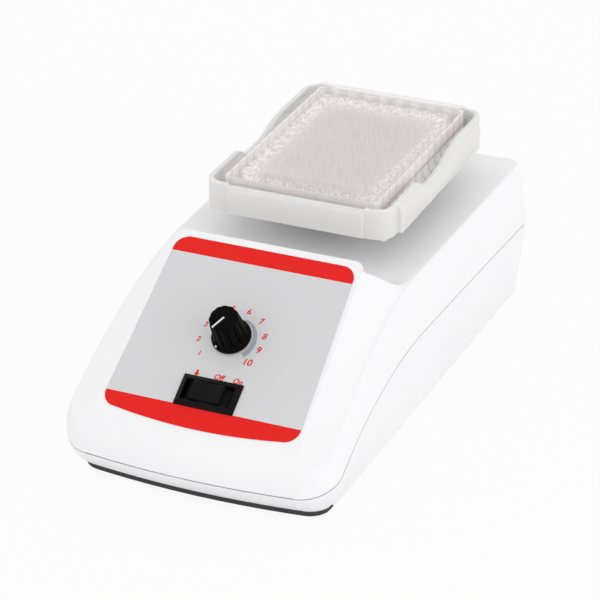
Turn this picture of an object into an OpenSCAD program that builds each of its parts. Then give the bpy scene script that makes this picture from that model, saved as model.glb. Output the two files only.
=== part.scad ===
// Benchtop vortex mixer for 96-well microplates.
// Frame: X to the right, -Y to the operator, Z up from the bench; the origin is on the
// bench below the middle of the housing.

/* [Housing] */
// Length of the housing, front nose to back wall
body_len = 282; // [276:1:288]
// Half width of the housing at its edge line, taken at the nose
nose_half = 63.8; // [62:0.1:66]
// How far the side walls lean out, per millimetre down
wall_lean = 0.141; // [0.12:0.001:0.15]
// Height of the deck edge over the bench
deck_edge_z = 73.2; // [72:0.2:75]
// Height of the edge line round the nose
nose_edge_z = 24; // [22:0.5:26]
// Height of the parting line at the nose
seam_front_z = 16; // [15:0.5:18]
// Height of the parting line at its crest
seam_crest_z = 45.5; // [43:0.5:47]
// Height of the parting line at the back wall
seam_back_z = 41.4; // [40:0.2:43]
// Dark gap left between the two halves of the housing
seam_gap = 0.6; // [0.4:0.1:1]
// Bow radius of the nose in plan
nose_bow = 400; // [300:10:600]
// Corner radius at the nose in plan
nose_corner = 17; // [15:1:20]
// Corner radius at the back in plan
back_corner = 9; // [7:1:12]
// Wall thickness of both halves
wall = 2.6; // [2.2:0.1:3]
// Half width of the foot of the lower half
foot_half = 64.5; // [62:0.5:66]
// How far the foot steps back under the nose
foot_front_in = 11; // [9:1:13]
// How much wider each side is at the back than at the nose
side_flare = 4.6; // [3.5:0.1:5.5]
// Rounding between the deck and the back wall
back_round = 3; // [2:0.5:4]

/* [Control panel] */
// Tilt of the panel from level
panel_tilt = 32.4; // [31.5:0.1:33]
// Distance of the top edge of the overlay behind the nose
panel_set = 97.7; // [96:0.1:99]
// Height of the top edge of the overlay
panel_top_z = 90.8; // [90:0.1:92]
// Length of the overlay down the slope
overlay_len = 101.8; // [99:0.2:102]
// Width of the overlay at its top edge
overlay_top_w = 95.5; // [92:0.5:97]
// How much wider each side of the overlay is at its lower band
overlay_flare = 3.05; // [2.5:0.05:3.5]
// Drop of the lower edge of the overlay from its middle to its corners
overlay_sag = 3.3; // [2.5:0.1:4]
// Corner radius of the overlay
overlay_r = 7.5; // [6:0.5:8]
// Thickness of the printed overlay
overlay_t = 0.4; // [0.3:0.1:0.6]
// Plain rim round the overlay
rim_w = 3; // [2:0.5:3.5]
// Distance of the knob below the top edge of the overlay
knob_v = 50; // [48:1:52]
// Distance of the switch below the top edge of the overlay
switch_v = 82.4; // [81.5:0.1:83]

/* [Knob and switch] */
// Diameter of the skirt of the knob
knob_skirt_d = 21; // [19:0.5:23]
// Diameter of the grip of the knob
knob_grip_d = 16; // [14:0.5:17]
// Height of the knob
knob_h = 17.5; // [16:0.5:19]
// Width of the switch bezel
bezel_w = 31; // [30:0.5:32]
// Height of the switch bezel
bezel_h = 16.8; // [16:0.2:17]
// Thickness of the switch bezel
bezel_t = 2; // [1.6:0.1:2.4]
// Width of the bevel round the switch bezel
bezel_bevel = 2.4; // [1.5:0.1:2.4]
// Swing of the rocker from one end to the other
rocker_swing = 20; // [18:1:22]

/* [Drive] */
// Place of the motor shaft along the body
drive_y = 54; // [52.5:0.5:55]
// Radius of the orbit
orbit_r = 1.75; // [1.5:0.05:2]
// Travel when the tray is pressed down
touch_travel = 1.5; // [1:0.1:1.8]
// Diameter of the motor can
motor_d = 46; // [42:1:48]
// Length of the motor can
motor_h = 28; // [26:0.5:28.5]
// Diameter of the motor shaft
shaft_d = 6; // [5:0.5:7]
// Diameter of the crank pins
pin_d = 8; // [7:0.5:8]
// Diameter of the ball bearings
bearing_d = 22; // [21:0.5:24]
// Height of the ball bearings
bearing_h = 7; // [6.5:0.5:7]
// Half spacing of the idler cranks across the body
idler_x = 34; // [32:0.5:36]

/* [Tray and plate] */
// Width of the microplate footprint
plate_w = 85.48; // [84.9:0.01:85.9]
// Length of the microplate footprint
plate_l = 127.76; // [127.2:0.01:128.2]
// Height of the microplate
plate_h = 14.35; // [14:0.05:14.6]
// Pitch of the wells
well_pitch = 9; // [8.9:0.01:9]
// Diameter of a well
well_d = 6.9; // [6.4:0.1:7]
// Depth of a well
well_depth = 10.8; // [10:0.1:11.2]
// Height of the top of the closed lid over the bench
lid_top_z = 111; // [111:0.5:112]
// Depth of the lid skirt
lid_h = 8; // [7:0.5:8.5]
// Gap between tray wall and plate on the long sides
plate_gap_x = 4.5; // [3:0.5:5]
// Gap between tray wall and plate on the short sides
plate_gap_y = 1.4; // [1:0.1:2]
// Thickness of the tray walls
tray_wall = 2.6; // [2.2:0.1:3]
// Height of the tray
tray_h = 15.8; // [15:0.2:16.5]
// How far the bands stand out on the long sides of the tray
side_band_proud = 2.5; // [1.5:0.1:3]
// Height left beside the finger cut-outs
tray_low = 9.5; // [8:0.5:10.5]

/* [Hidden] */
$fn = 48;

slip = 0.15;      // clearance round a piece that drops in
run = 0.05;       // radial clearance of a turning journal
through = 300;    // length of a cut that passes right through
m3 = 3;           // thread, head and head height of the small screws
m3_head = 5.4;
m3_head_h = 1.8;
white = [0.96, 0.96, 0.97];
black = [0.08, 0.08, 0.09];
steel = [0.72, 0.73, 0.75];
rubber = [0.25, 0.25, 0.26];

// ---- outline of the housing ------------------------------------------------------
front_y = -body_len / 2;
back_y = body_len / 2;
seam_reach = 126;
edge_reach = 136;
seam_crest_y = front_y + seam_reach;
edge_crest_y = front_y + edge_reach;
panel_top_y = front_y + panel_set;
overlay_low_w = overlay_top_w + 2 * overlay_flare;
seam_power = 1.3;
deck_fall = 0.4;
edge_round = 2;
nose_round = 4;
bow_reach = 60;
ramp_len = 10;
ramp_y = panel_top_y + rim_w;
bottom_z = 3;
inset_z = 1.2;

function ease(t) = let (u = min(1, max(0, t))) u * u * (3 - 2 * u);
function mix(a, b, t) = a + (b - a) * t;
function corner_in(d, r) = d < r ? r - sqrt(r * r - (r - d) * (r - d)) : 0;
function bow(x, d) = x * x / (2 * nose_bow) * (1 - ease(d / bow_reach));

// Height of the edge line and of the parting line along the body
function edge_z(y) = y < edge_crest_y
  ? nose_edge_z + (deck_edge_z - nose_edge_z)
    * sin(90 * (y - front_y) / (edge_crest_y - front_y))
  : deck_edge_z - deck_fall * (y - edge_crest_y) / (back_y - edge_crest_y);
function seam_z(y) = y < seam_crest_y
  ? seam_front_z + (seam_crest_z - seam_front_z)
    * sin(90 * max(0, y - front_y) / (seam_crest_y - front_y))
  : seam_crest_z - (seam_crest_z - seam_back_z)
    * pow(min(1, (y - seam_crest_y) / (back_y - seam_crest_y)), seam_power);

// Half width of the shell at height z, with both plan corners rounded
function wall_x(y, z) = nose_half + side_flare * (y - front_y) / body_len
  + wall_lean * (deck_edge_z - z)
  - corner_in(y - front_y, nose_corner) - corner_in(back_y - y, back_corner);

// Panel plane, and the surface of deck, panel pillow and nose together
function panel_z(y) = panel_top_z + (y - panel_top_y) * tan(panel_tilt);
overlay_run = overlay_len * cos(panel_tilt);
function overlay_half(y) = mix(overlay_top_w, overlay_low_w,
  (panel_top_y - y) / overlay_run) / 2;
function pillow(x, y, edge_x) =
  let (rim_x = overlay_half(y) + rim_w,
       low = panel_top_y - overlay_run - rim_w,
       back = 1 - ease((y - ramp_y) / ramp_len),
       front = 1 - ease((low - (y - x * x / (2 * nose_bow))) / 6),
       side = 1 - ease((abs(x) - rim_x) / max(1, edge_x - edge_round - rim_x)))
  back * front * side;
function top_z(x, y, edge_x) =
  let (base = edge_z(y) + edge_round,
       p = pillow(x, y, edge_x))
  base + (panel_z(y) - base) * p;

// One cross-section of the shell, inset by t; its points run from the left end of the
// parting line over the top to the right end
section_steps = [0, 0.5, 0.94, 1];
flank_steps = [0.15, 0.32, 0.5, 0.68, 0.85, 1];
function half_section(y0, t) =
  let (d = y0 - front_y,
       rise = d < nose_round ? sqrt(1 - pow(1 - d / nose_round, 2)) : 1,
       tail = t + corner_in(back_y - t - y0, back_round),
       edge_x = wall_x(y0, edge_z(y0)) - t,
       seam = seam_z(y0) - (t > 0 ? 2 : 0),
       rim_x = min(overlay_half(y0) + rim_w, edge_x - 6),
       top = [for (s = section_steps) s * rim_x],
       flank = [for (s = flank_steps) mix(rim_x, edge_x - edge_round, s)],
       low_x = wall_x(y0, seam_z(y0)) - t)
  concat(
    [for (x = concat(top, flank))
      let (y = y0 + bow(x, d), z = mix(seam + 0.3, top_z(x, y, edge_x) - t * inset_z - tail + t, rise))
      [x, y, z]],
    [[edge_x - edge_round * 0.3, y0 + bow(edge_x, d),
      mix(seam + 0.25, edge_z(y0) + edge_round * 0.6 - tail, rise)],
     [edge_x, y0 + bow(edge_x, d), mix(seam + 0.2, edge_z(y0) - tail, rise)],
     [mix(edge_x, low_x, 0.5) + 0.5 * rise, y0 + bow(edge_x, d),
      mix(seam, edge_z(y0), 0.5 * rise)],
     [low_x, y0 + bow(low_x, d), seam]]);
function flip_x(p) = [-p[0], p[1], p[2]];
function full_section(y0, t) =
  let (h = half_section(y0, t), n = len(h))
  concat([for (i = [n - 1:-1:1]) flip_x(h[i])], h);

// Solid through a list of sections that all have the same number of points
module loft(sections) {
  n = len(sections[0]);
  m = len(sections);
  points = [for (s = sections) each s];
  sides = [for (k = [0:m - 2]) for (i = [0:n - 1])
    let (a = k * n + i, b = k * n + (i + 1) % n, c = a + n, d = b + n)
    each [[a, c, b], [b, c, d]]];
  first = [for (i = [1:n - 2]) [0, i, i + 1]];
  last = [for (i = [1:n - 2]) [(m - 1) * n, (m - 1) * n + i + 1, (m - 1) * n + i]];
  polyhedron(points = points, faces = concat(first, sides, last));
}

nose_steps = [0, 0.4, 1.2, 2.4, 4, 6.5, 10, 15, 22];
back_steps = [9, 5, 2.5, 1, 0.2];
function stations(t) = concat(
  [for (d = nose_steps) front_y + t + d],
  [for (k = [1:7]) mix(front_y + 22, ramp_y - 6, k / 7)],
  [for (k = [-1:6]) ramp_y + ramp_len * k / 6],
  [for (k = [1:6]) mix(ramp_y + ramp_len, back_y - 9, k / 7)],
  [for (d = back_steps) back_y - t - d]);

// Closed ring round the parting line, drawn in to the foot by f and inset by t
seam_half = nose_half + wall_lean * (deck_edge_z - seam_front_z);
foot_flare = 4.3;
foot_back_in = 1.5;
foot_corner = 9;
function foot_x(y) = foot_half + foot_flare * (y - front_y) / body_len
  - corner_in(y - front_y, foot_corner) - corner_in(back_y - y, back_corner);
function ring_half(f) = concat(
  [for (x = [0:12:48]) [x, front_y + bow(x, 0), front_y]],
  [for (y0 = stations(0)) let (x = mix(wall_x(y0, seam_z(y0)), foot_x(y0), f))
    [x, y0 + bow(x, y0 - front_y), y0]],
  [[30, back_y, back_y], [0, back_y, back_y]]);
function draw_in(p, f, t) =
  let (foot_y = mix(front_y + foot_front_in, back_y - foot_back_in, (p[1] - front_y) / body_len))
  [p[0] * (1 - t / seam_half), mix(p[1], foot_y, f) * (1 - t / back_y)];
function ring(f, t, z_of) =
  let (h = [for (p = ring_half(f)) let (q = draw_in(p, f, t)) [q[0], q[1], z_of(p[2])]],
       n = len(h))
  concat(h, [for (i = [n - 2:-1:1]) flip_x(h[i])]);

// ---- helpers ---------------------------------------------------------------------
module rounded_box(w, l, h, r) {
  linear_extrude(h) rounded_rect(w, l, r);
}
module rounded_rect(w, l, r) {
  union() {
    square([w - 2 * r, l], center = true);
    square([w, l - 2 * r], center = true);
    for (x = [-1, 1], y = [-1, 1])
      translate([x * (w / 2 - r), y * (l / 2 - r)]) circle(r);
  }
}
// Panel frame: +Z out of the panel, v runs down the slope from the overlay's top edge
module on_panel(v) {
  translate([0, panel_top_y, panel_top_z]) rotate([panel_tilt, 0, 0])
    translate([0, -v, 0]) children();
}
module at_drive(dx = 0, dy = 0) {
  translate([dx, drive_y + dy, 0]) children();
}
module corners4(x, y) {
  for (i = [-1, 1], j = [-1, 1]) translate([i * x, j * y, 0]) children();
}
slot_w = 0.9;
slot_t = 0.8;
module pan_screw(d, len, head_d, head_h) {
  translate([0, 0, -len]) cylinder(d = d, h = len);
  difference() {
    cylinder(d = head_d, h = head_h);
    for (a = [0, 90]) translate([0, 0, head_h]) rotate(a)
      cube([head_d * 0.7, slot_w, 2 * slot_t], center = true);
  }
}

// ---- housing ---------------------------------------------------------------------
deck_hole_r = 22;
collar_t = 2;
collar_h = 2.5;
collar_top = deck_edge_z + edge_round + collar_h;
screw_d = 3.5;
boss_d = 9;
boss_grip = 12;
front_boss = [54, front_y + 52, 27];
back_boss = [56, back_y - 29, 38];
pot_bush_d = 7;
switch_body_w = 28;
switch_body_h = 12.4;
inlet_w = 27.5;
inlet_h = 20;
inlet_z = 24;

module shell_solid(t) {
  loft([for (y0 = stations(t)) full_section(y0, t)]);
}
module boss_posts(d, h) {
  for (b = [front_boss, back_boss], s = [-1, 1])
    translate([s * b[0], b[1], b[2]]) cylinder(d = d, h = h);
}
module upper_housing() {
  color(white) difference() {
    union() {
      difference() {
        shell_solid(0);
        shell_solid(wall);
      }
      at_drive() translate([0, 0, deck_edge_z - wall])
        cylinder(r = deck_hole_r + collar_t, h = collar_top - deck_edge_z + wall);
      intersection() {
        shell_solid(wall / 2);
        boss_posts(boss_d, body_len);
      }
    }
    at_drive() cylinder(r = deck_hole_r, h = through);
    boss_posts(screw_d, boss_grip);
    on_panel(knob_v) translate([0, 0, -15]) cylinder(d = pot_bush_d, h = 30);
    on_panel(switch_v) cube([switch_body_w, switch_body_h, 30], center = true);
  }
}

module lower_housing() {
  floor_z = bottom_z + wall;
  color(white) difference() {
    union() {
      loft([
        ring(1, 0, function (y) bottom_z),
        ring(0.72, 0, function (y) mix(bottom_z, seam_z(y), 0.2)),
        ring(0, 0, function (y) seam_z(y) - seam_gap),
        ring(0, wall, function (y) seam_z(y) - seam_gap),
        ring(0.72, wall, function (y) floor_z + 2),
        ring(1, wall, function (y) floor_z)]);
      for (b = [front_boss, back_boss], s = [-1, 1])
        translate([s * b[0], b[1], bottom_z]) cylinder(d = boss_d, h = b[2] - bottom_z);
    }
    for (b = [front_boss, back_boss], s = [-1, 1])
      translate([s * b[0], b[1], bottom_z]) {
        cylinder(d = screw_d, h = through);
        translate([0, 0, -0.1]) cylinder(d = screw_head_d + 1, h = screw_sink + 0.1);
      }
    translate([0, back_y, inlet_z])
      cube([inlet_w, 2 * inlet_depth, inlet_h], center = true);
  }
}
screw_head_d = 7;
screw_sink = 8;
module housing_screws() {
  color(steel) for (b = [front_boss, back_boss], s = [-1, 1])
    translate([s * b[0], b[1], bottom_z + screw_sink]) rotate([180, 0, 0])
      pan_screw(screw_d, b[2] + boss_grip - 2 - bottom_z - screw_sink, screw_head_d, 2.4);
}

board_w = 88;
board_l = 52;
board_t = 1.6;
board_y = front_y + 58;
board_inset = 5;
board_z = 20;
ballast_w = 96;
ballast_t = 6;
ballast_front = board_y + board_l / 2 + 10;
ballast_back = back_y - 32;
ballast_l = ballast_back - ballast_front;
ballast_y = (ballast_front + ballast_back) / 2;
floor_top = bottom_z + wall;
module base_plate() {
  color(steel) translate([0, ballast_y, floor_top]) difference() {
    rounded_box(ballast_w, ballast_l, ballast_t, 8);
    translate([0, drive_y - ballast_y, 0]) corners4(post_x, post_y)
      translate([0, 0, -1]) cylinder(d = post_screw_d, h = ballast_t + 2);
  }
}
module base_pad() {
  color(rubber) difference() {
    linear_extrude(bottom_z) polygon([for (p = ring(1, 1, function (y) 0)) [p[0], p[1]]]);
    for (b = [front_boss, back_boss], s = [-1, 1])
      translate([s * b[0], b[1], -1]) cylinder(d = screw_head_d + 2, h = bottom_z + 2);
  }
}

// ---- controls --------------------------------------------------------------------
pot_d = 17;
pot_h = 10.5;
seat_gap = 0.05;
pot_shaft_d = 6;
nut_af = 10;
nut_h = 2.4;
panel_t = wall * inset_z * cos(panel_tilt);
bush_len = 7;
knob_gap = 0.6;
module overlay_shape() {
  hw = overlay_top_w / 2;
  hl = overlay_low_w / 2;
  side_v = overlay_len - overlay_sag - overlay_r;
  arc_r = (pow(hl - overlay_r, 2) + pow(overlay_sag, 2)) / (2 * overlay_sag);
  intersection() {
    union() {
      for (s = [-1, 1]) {
        translate([s * (hw - overlay_r), -overlay_r]) circle(overlay_r);
        translate([s * (hl - overlay_r), -side_v]) circle(overlay_r);
      }
      polygon([[-hw + overlay_r, 0], [hw - overlay_r, 0], [hw, -overlay_r], [hl, -side_v],
        [hl - overlay_r, -overlay_len], [-hl + overlay_r, -overlay_len], [-hl, -side_v],
        [-hw, -overlay_r]]);
    }
    translate([0, -overlay_len + arc_r]) circle(arc_r, $fn = 240);
  }
}
module control_overlay() {
  color([0.85, 0.84, 0.85]) on_panel(0) difference() {
    linear_extrude(overlay_t) overlay_shape();
    translate([0, -knob_v, -1]) cylinder(d = pot_bush_d, h = 3);
    translate([0, -switch_v, 0]) cube([switch_body_w, switch_body_h, 3], center = true);
  }
}
bezel_edge = 0.4;
rocker_w = 24.4;
rocker_h = 10.2;
rocker_axis_z = -1.2;
rocker_pin_d = 2;
switch_depth = 17;
terminal_len = 6.4;
module switch_frame() {
  color(black) on_panel(switch_v) difference() {
    union() {
      translate([0, 0, overlay_t]) loft([for (p = [[0, 0], [0, bezel_edge], [bezel_bevel, bezel_t]])
        let (x = bezel_w / 2 - p[0], y = bezel_h / 2 - p[0])
          [[-x, -y, p[1]], [x, -y, p[1]], [x, y, p[1]], [-x, y, p[1]]]]);
      translate([-switch_body_w / 2, -switch_body_h / 2, -switch_depth])
        cube([switch_body_w, switch_body_h, switch_depth + overlay_t]);
    }
    translate([0, 0, overlay_t + bezel_t - 4.5])
      cube([rocker_w + 0.8, rocker_h + 0.4, 9.01], center = true);
    translate([0, 0, -7]) cube([rocker_w + 0.8, rocker_h + 0.4, 4], center = true);
    translate([0, 0, rocker_axis_z]) rotate([90, 0, 0])
      cylinder(d = rocker_pin_d + 2 * run, h = rocker_h + 1.2, center = true);
  }
}
// Rocker about an axis that runs down the slope, level at rest, with a raised pad
pad_half = 8;
pad_top = 5.2;
module rocker() {
  half = rocker_w / 2;
  flat = half * 0.3;
  under_z = -2.2;
  rim_z = under_z + (half - 0.4 - flat) * tan(rocker_swing / 2 + 9);
  color(black) on_panel(switch_v) translate([0, 0, rocker_axis_z]) {
    rotate([90, 0, 0]) linear_extrude(rocker_h, center = true)
      polygon([[-half + 0.5, 2.2], [-pad_half - 0.6, 2.6], [-pad_half, pad_top],
        [-pad_half / 2, pad_top - 0.5], [pad_half / 2, pad_top - 0.5], [pad_half, pad_top],
        [pad_half + 0.6, 2.6], [half - 0.5, 2.2], [half - 0.4, rim_z], [flat, under_z],
        [-flat, under_z], [-half + 0.4, rim_z]]);
    rotate([90, 0, 0]) cylinder(d = rocker_pin_d, h = rocker_h + 1, center = true);
  }
}
module switch_terminals() {
  color([0.85, 0.8, 0.6]) on_panel(switch_v) for (x = [-9, 0, 9], y = [-3, 3])
    translate([x - 0.4, y - 2.4, -switch_depth - terminal_len]) cube([0.8, 4.8, terminal_len]);
}
module potentiometer() {
  color([0.3, 0.4, 0.35]) on_panel(knob_v) difference() {
    union() {
      translate([0, 0, -panel_t - seat_gap - pot_h]) cylinder(d = pot_d, h = pot_h);
      translate([0, 0, -panel_t - 1]) cylinder(d = pot_bush_d, h = bush_len + 1);
      translate([-6, -pot_d / 2 - 6, -panel_t - 5]) cube([12, 9, 1.6]);
    }
    translate([0, 0, -panel_t - 9]) cylinder(d = pot_shaft_d + 2 * run, h = 30);
  }
}
module pot_nut() {
  color(steel) on_panel(knob_v) translate([0, 0, overlay_t]) difference() {
    union() {
      cylinder(d = nut_af + 2, h = 0.6);
      translate([0, 0, 0.6]) cylinder(d = nut_af / cos(30), h = nut_h, $fn = 6);
    }
    translate([0, 0, -1]) cylinder(d = pot_bush_d, h = 5);
  }
}
module pot_shaft() {
  color(steel) on_panel(knob_v) translate([0, 0, -panel_t - 9])
    cylinder(d = pot_shaft_d, h = 9 + panel_t + knob_h - 4);
}
knob_turn = 135;
skirt_h = 2.4;
module knob_bore() {
  translate([0, 0, -1]) cylinder(d = nut_af / cos(30) + 1.6, h = nut_h + 2.6);
  cylinder(d = pot_shaft_d, h = knob_h - 3);
  rotate(-knob_turn) translate([-0.6, 2, knob_h - 0.6]) cube([1.2, knob_grip_d, 2]);
}
flutes = 12;
flute_d = 3.4;
module speed_knob() {
  color(black) on_panel(knob_v) translate([0, 0, overlay_t + knob_gap]) difference() {
    union() {
      cylinder(d = knob_skirt_d, h = skirt_h);
      cylinder(d = knob_grip_d - 1.2, h = knob_h - 1);
      translate([0, 0, knob_h - 1.01]) cylinder(d = knob_grip_d - 2.4, h = 1.01);
      for (k = [0:flutes - 1]) rotate(k * 360 / flutes)
        translate([(knob_grip_d - flute_d) / 2, 0, skirt_h])
          cylinder(d = flute_d, h = knob_h - 1.4 - skirt_h, $fn = 24);
    }
    knob_bore();
  }
}
module knob_pointer() {
  color("white") on_panel(knob_v) translate([0, 0, overlay_t + knob_gap]) rotate(-knob_turn)
    translate([-0.6, 2, knob_h - 0.6]) cube([1.2, knob_grip_d / 2 - 3.4, 0.6]);
}

// ---- electronics -----------------------------------------------------------------
module control_board() {
  color([0.1, 0.35, 0.2]) translate([0, board_y, board_z]) difference() {
    translate([0, 0, board_t / 2]) cube([board_w, board_l, board_t], center = true);
    corners4(board_w / 2 - board_inset, board_l / 2 - board_inset)
      translate([0, 0, -1]) cylinder(d = m3, h = board_t + 2);
  }
}
cap_d = 12;
cap_h = 15;
small_cap_d = 8;
small_cap_h = 11;
relay = [16, 10, 9];
heat_fin = [3, 18, 14];
chip = [12, 12, 3];
plug_row = [18, 7, 3.4];
row_x = 26;
row_y = 16;
part_gap = 4;
module board_components() {
  color([0.15, 0.15, 0.2]) translate([0, board_y, board_z + board_t]) {
    translate([-row_x, part_gap, 0]) cylinder(d = cap_d, h = cap_h);
    translate([-row_x, part_gap - row_y, 0]) cylinder(d = small_cap_d, h = small_cap_h);
    translate([row_x - relay[0] / 2, -row_y, 0]) cube(relay);
    translate([1.5 * part_gap, 0, 0]) cube(heat_fin);
    translate([row_x - part_gap / 2, part_gap, 0]) cube(chip);
    translate([-plug_row[0] / 2, -row_y - part_gap / 2, 0]) cube(plug_row);
  }
}
module board_screws() {
  color(steel) translate([0, board_y, 0])
    corners4(board_w / 2 - board_inset, board_l / 2 - board_inset) {
    translate([0, 0, floor_top]) cylinder(d = 2 * m3, h = board_z - floor_top);
    translate([0, 0, board_z + board_t]) pan_screw(m3, board_t, m3_head, m3_head_h);
  }
}
inlet_depth = 22;
socket_w = 22;
socket_h = 11;
socket_z = 3.4;
drawer_w = 16;
drawer_h = 5;
drawer_z = -6.4;
inlet_face_y = back_y - 2.4;
module power_inlet() {
  color(black) translate([0, inlet_face_y, inlet_z]) difference() {
    union() {
      translate([0, -inlet_depth / 2, 0]) cube([inlet_w, inlet_depth, inlet_h], center = true);
      translate([0, -wall - 0.2, 0]) cube([inlet_w + 6, 3, inlet_h + 6], center = true);
    }
    translate([0, 0, socket_z]) cube([socket_w, 32, socket_h], center = true);
    translate([0, 0, drawer_z])
      cube([drawer_w + 2 * slip, 36, drawer_h + 2 * slip], center = true);
  }
}
module inlet_pins() {
  color(steel) translate([0, inlet_face_y, inlet_z + socket_z])
    for (p = [[-7, -1], [0, 2], [7, -1]])
      translate([p[0] - 1, -inlet_depth, p[1] - 2]) cube([2, inlet_depth - 4, 4]);
}
drawer_l = 18;
fuse_d = 3.6;
module fuse_drawer() {
  color(black) translate([0, inlet_face_y - drawer_l, inlet_z + drawer_z]) difference() {
    translate([-drawer_w / 2, 0, -drawer_h / 2]) cube([drawer_w, drawer_l, drawer_h]);
    translate([0, 7, drawer_h / 2]) cube([13, fuse_d, 2 * fuse_d], center = true);
    translate([0, drawer_l, drawer_h / 2]) cube([6, 2, 3], center = true);
  }
}
module fuse() {
  color("silver") translate([0, inlet_face_y - drawer_l + 7, inlet_z + drawer_z])
    translate([-6.5, 0, drawer_h / 2 - fuse_d / 2]) rotate([0, 90, 0])
      cylinder(d = fuse_d, h = 13);
}

// ---- drive: carriage that dips when pressed --------------------------------------
ballast_top = floor_top + ballast_t;
post_x = 40;
post_y = 30;
post_screw_d = 4;
post_d = 12;
isolator_h = 12;
carriage_z = 46;
carriage_t = 4;
carriage_top = carriage_z + carriage_t;
journal_bush_d = 12;
journal_bush_h = 8;
motor_bore_d = 16;
motor_skin = 2;
motor_z = carriage_z - motor_h;
cap_t = 2.5;
cap_skin = 0.8;
brush = [6, 8, 2.4];
brush_x = 14;
screw_ring = 15.5;
module frame_posts() {
  color(steel) at_drive() corners4(post_x, post_y) {
    translate([0, 0, ballast_top])
      cylinder(d = post_d, h = carriage_z - isolator_h - ballast_top);
    translate([0, 0, floor_top]) cylinder(d = post_screw_d, h = ballast_t + 1);
  }
}
module isolators() {
  color(rubber) at_drive() corners4(post_x, post_y)
    translate([0, 0, carriage_z - isolator_h]) difference() {
      cylinder(d = post_d + 2, h = isolator_h);
      translate([0, 0, isolator_h / 2]) rotate_extrude()
        translate([post_d / 2 + 1.5, 0]) circle(1.6);
    }
}
module carriage_plate() {
  color([0.8, 0.81, 0.83]) at_drive() difference() {
    translate([0, 0, carriage_z])
      rounded_box(2 * post_x + 16, 2 * post_y + 16, carriage_t, 8);
    cylinder(d = motor_bore_d, h = through);
    for (s = [-1, 1]) translate([s * idler_x, 0, 0]) cylinder(d = journal_bush_d, h = through);
    for (k = [0:2]) rotate(90 + 120 * k) translate([screw_ring, 0, 0])
      cylinder(d = m3, h = through);
  }
}
module motor_can() {
  color([0.55, 0.56, 0.58]) at_drive() translate([0, 0, motor_z]) difference() {
    cylinder(d = motor_d, h = motor_h);
    translate([0, 0, -1]) cylinder(d = motor_d - 2 * motor_skin, h = motor_h - motor_skin + 1);
    cylinder(d = motor_bore_d - 2 * motor_skin, h = through);
    for (k = [0:2]) rotate(90 + 120 * k) translate([screw_ring, 0, 0])
      cylinder(d = m3, h = through);
  }
}
module motor_endcap() {
  color(black) at_drive() translate([0, 0, motor_z - cap_t]) difference() {
    union() {
      cylinder(d = motor_d, h = cap_t);
      cylinder(d = shaft_d + 6, h = cap_t + 2);
      for (s = [-1, 1]) translate([s * brush_x - brush[0] / 2, -brush[1] / 2, cap_t]) cube(brush);
    }
    translate([0, 0, cap_skin]) cylinder(d = shaft_d + 2 * run, h = through);
  }
}
magnet_z = motor_z + 5;
magnet_h = 18;
magnet_t = 4.5;
magnet_split = 8;
air_gap = 1;
slot_d = 5;
magnet_bore = motor_d - 2 * motor_skin - 2 * magnet_t;
armature_d = magnet_bore - 2 * air_gap;
module motor_magnets() {
  color([0.2, 0.2, 0.22]) at_drive() translate([0, 0, magnet_z]) difference() {
    cylinder(d = motor_d - 2 * motor_skin, h = magnet_h);
    translate([0, 0, -1]) cylinder(d = magnet_bore, h = magnet_h + 2);
    translate([-magnet_split / 2, -motor_d, -1]) cube([magnet_split, 2 * motor_d, magnet_h + 2]);
  }
}
module armature() {
  color([0.6, 0.35, 0.2]) at_drive() translate([0, 0, magnet_z]) difference() {
    cylinder(d = armature_d, h = magnet_h);
    translate([0, 0, -1]) cylinder(d = shaft_d, h = magnet_h + 2);
    for (k = [0:4]) rotate(72 * k) translate([armature_d / 2, 0, -1])
      cylinder(d = slot_d, h = magnet_h + 2);
  }
}
hub_z = carriage_top + 3;
hub_h = 6;
hub_d = 26;
module motor_shaft() {
  color(steel) at_drive() translate([0, 0, motor_z - cap_t + 1])
    cylinder(d = shaft_d, h = hub_z + hub_h - 1 - (motor_z - cap_t + 1));
}
module motor_bearing() {
  color(steel) at_drive() translate([0, 0, carriage_z - 0.5]) difference() {
    union() {
      translate([0, 0, 0.5]) cylinder(d = motor_bore_d, h = carriage_t);
      cylinder(d = motor_bore_d - 2 * motor_skin, h = 1);
    }
    translate([0, 0, -1]) cylinder(d = shaft_d + 2 * run, h = through);
  }
}
module motor_screws() {
  color(steel) at_drive() for (k = [0:2]) rotate(90 + 120 * k)
    translate([screw_ring, 0, carriage_top]) pan_screw(m3, carriage_t + motor_skin, m3_head, m3_head_h);
}

// ---- drive: crank, idlers and orbiting platform ----------------------------------
bearing_z = hub_z + hub_h + 3;
clip_h = 1;
pin_top = bearing_z + bearing_h + 0.3 + clip_h + 1;
orbit_plate_z = bearing_z - 1;
orbit_plate_t = 4;
seat_d = bearing_d + 8;
eye_d = 20;
arm_w = 16;
bush_lip = 0.6;
bush_lip_d = journal_bush_d + 3;
module at_platform(dx = 0, dy = 0) {
  translate([orbit_r + dx, drive_y + dy, 0]) children();
}
module crank_pin(z0, z1) {
  translate([orbit_r, 0, z0]) cylinder(d = pin_d, h = z1 - z0);
}
module eccentric_hub() {
  color(steel) at_drive() difference() {
    union() {
      translate([0, 0, hub_z]) cylinder(d = hub_d, h = hub_h);
      crank_pin(hub_z + hub_h - 0.01, pin_top);
    }
    translate([0, 0, hub_z - 1]) cylinder(d = shaft_d, h = hub_h);
  }
}
weight_r = 20;
module counterweight() {
  color([0.78, 0.66, 0.4]) at_drive() translate([0, 0, hub_z + 0.5]) difference() {
    cylinder(r = weight_r, h = hub_h - 1.5);
    translate([0, 0, -1]) cylinder(d = hub_d, h = hub_h + 2);
    translate([0, -weight_r - 1, -1]) cube([weight_r + 1, 2 * weight_r + 2, hub_h + 2]);
  }
}
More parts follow.
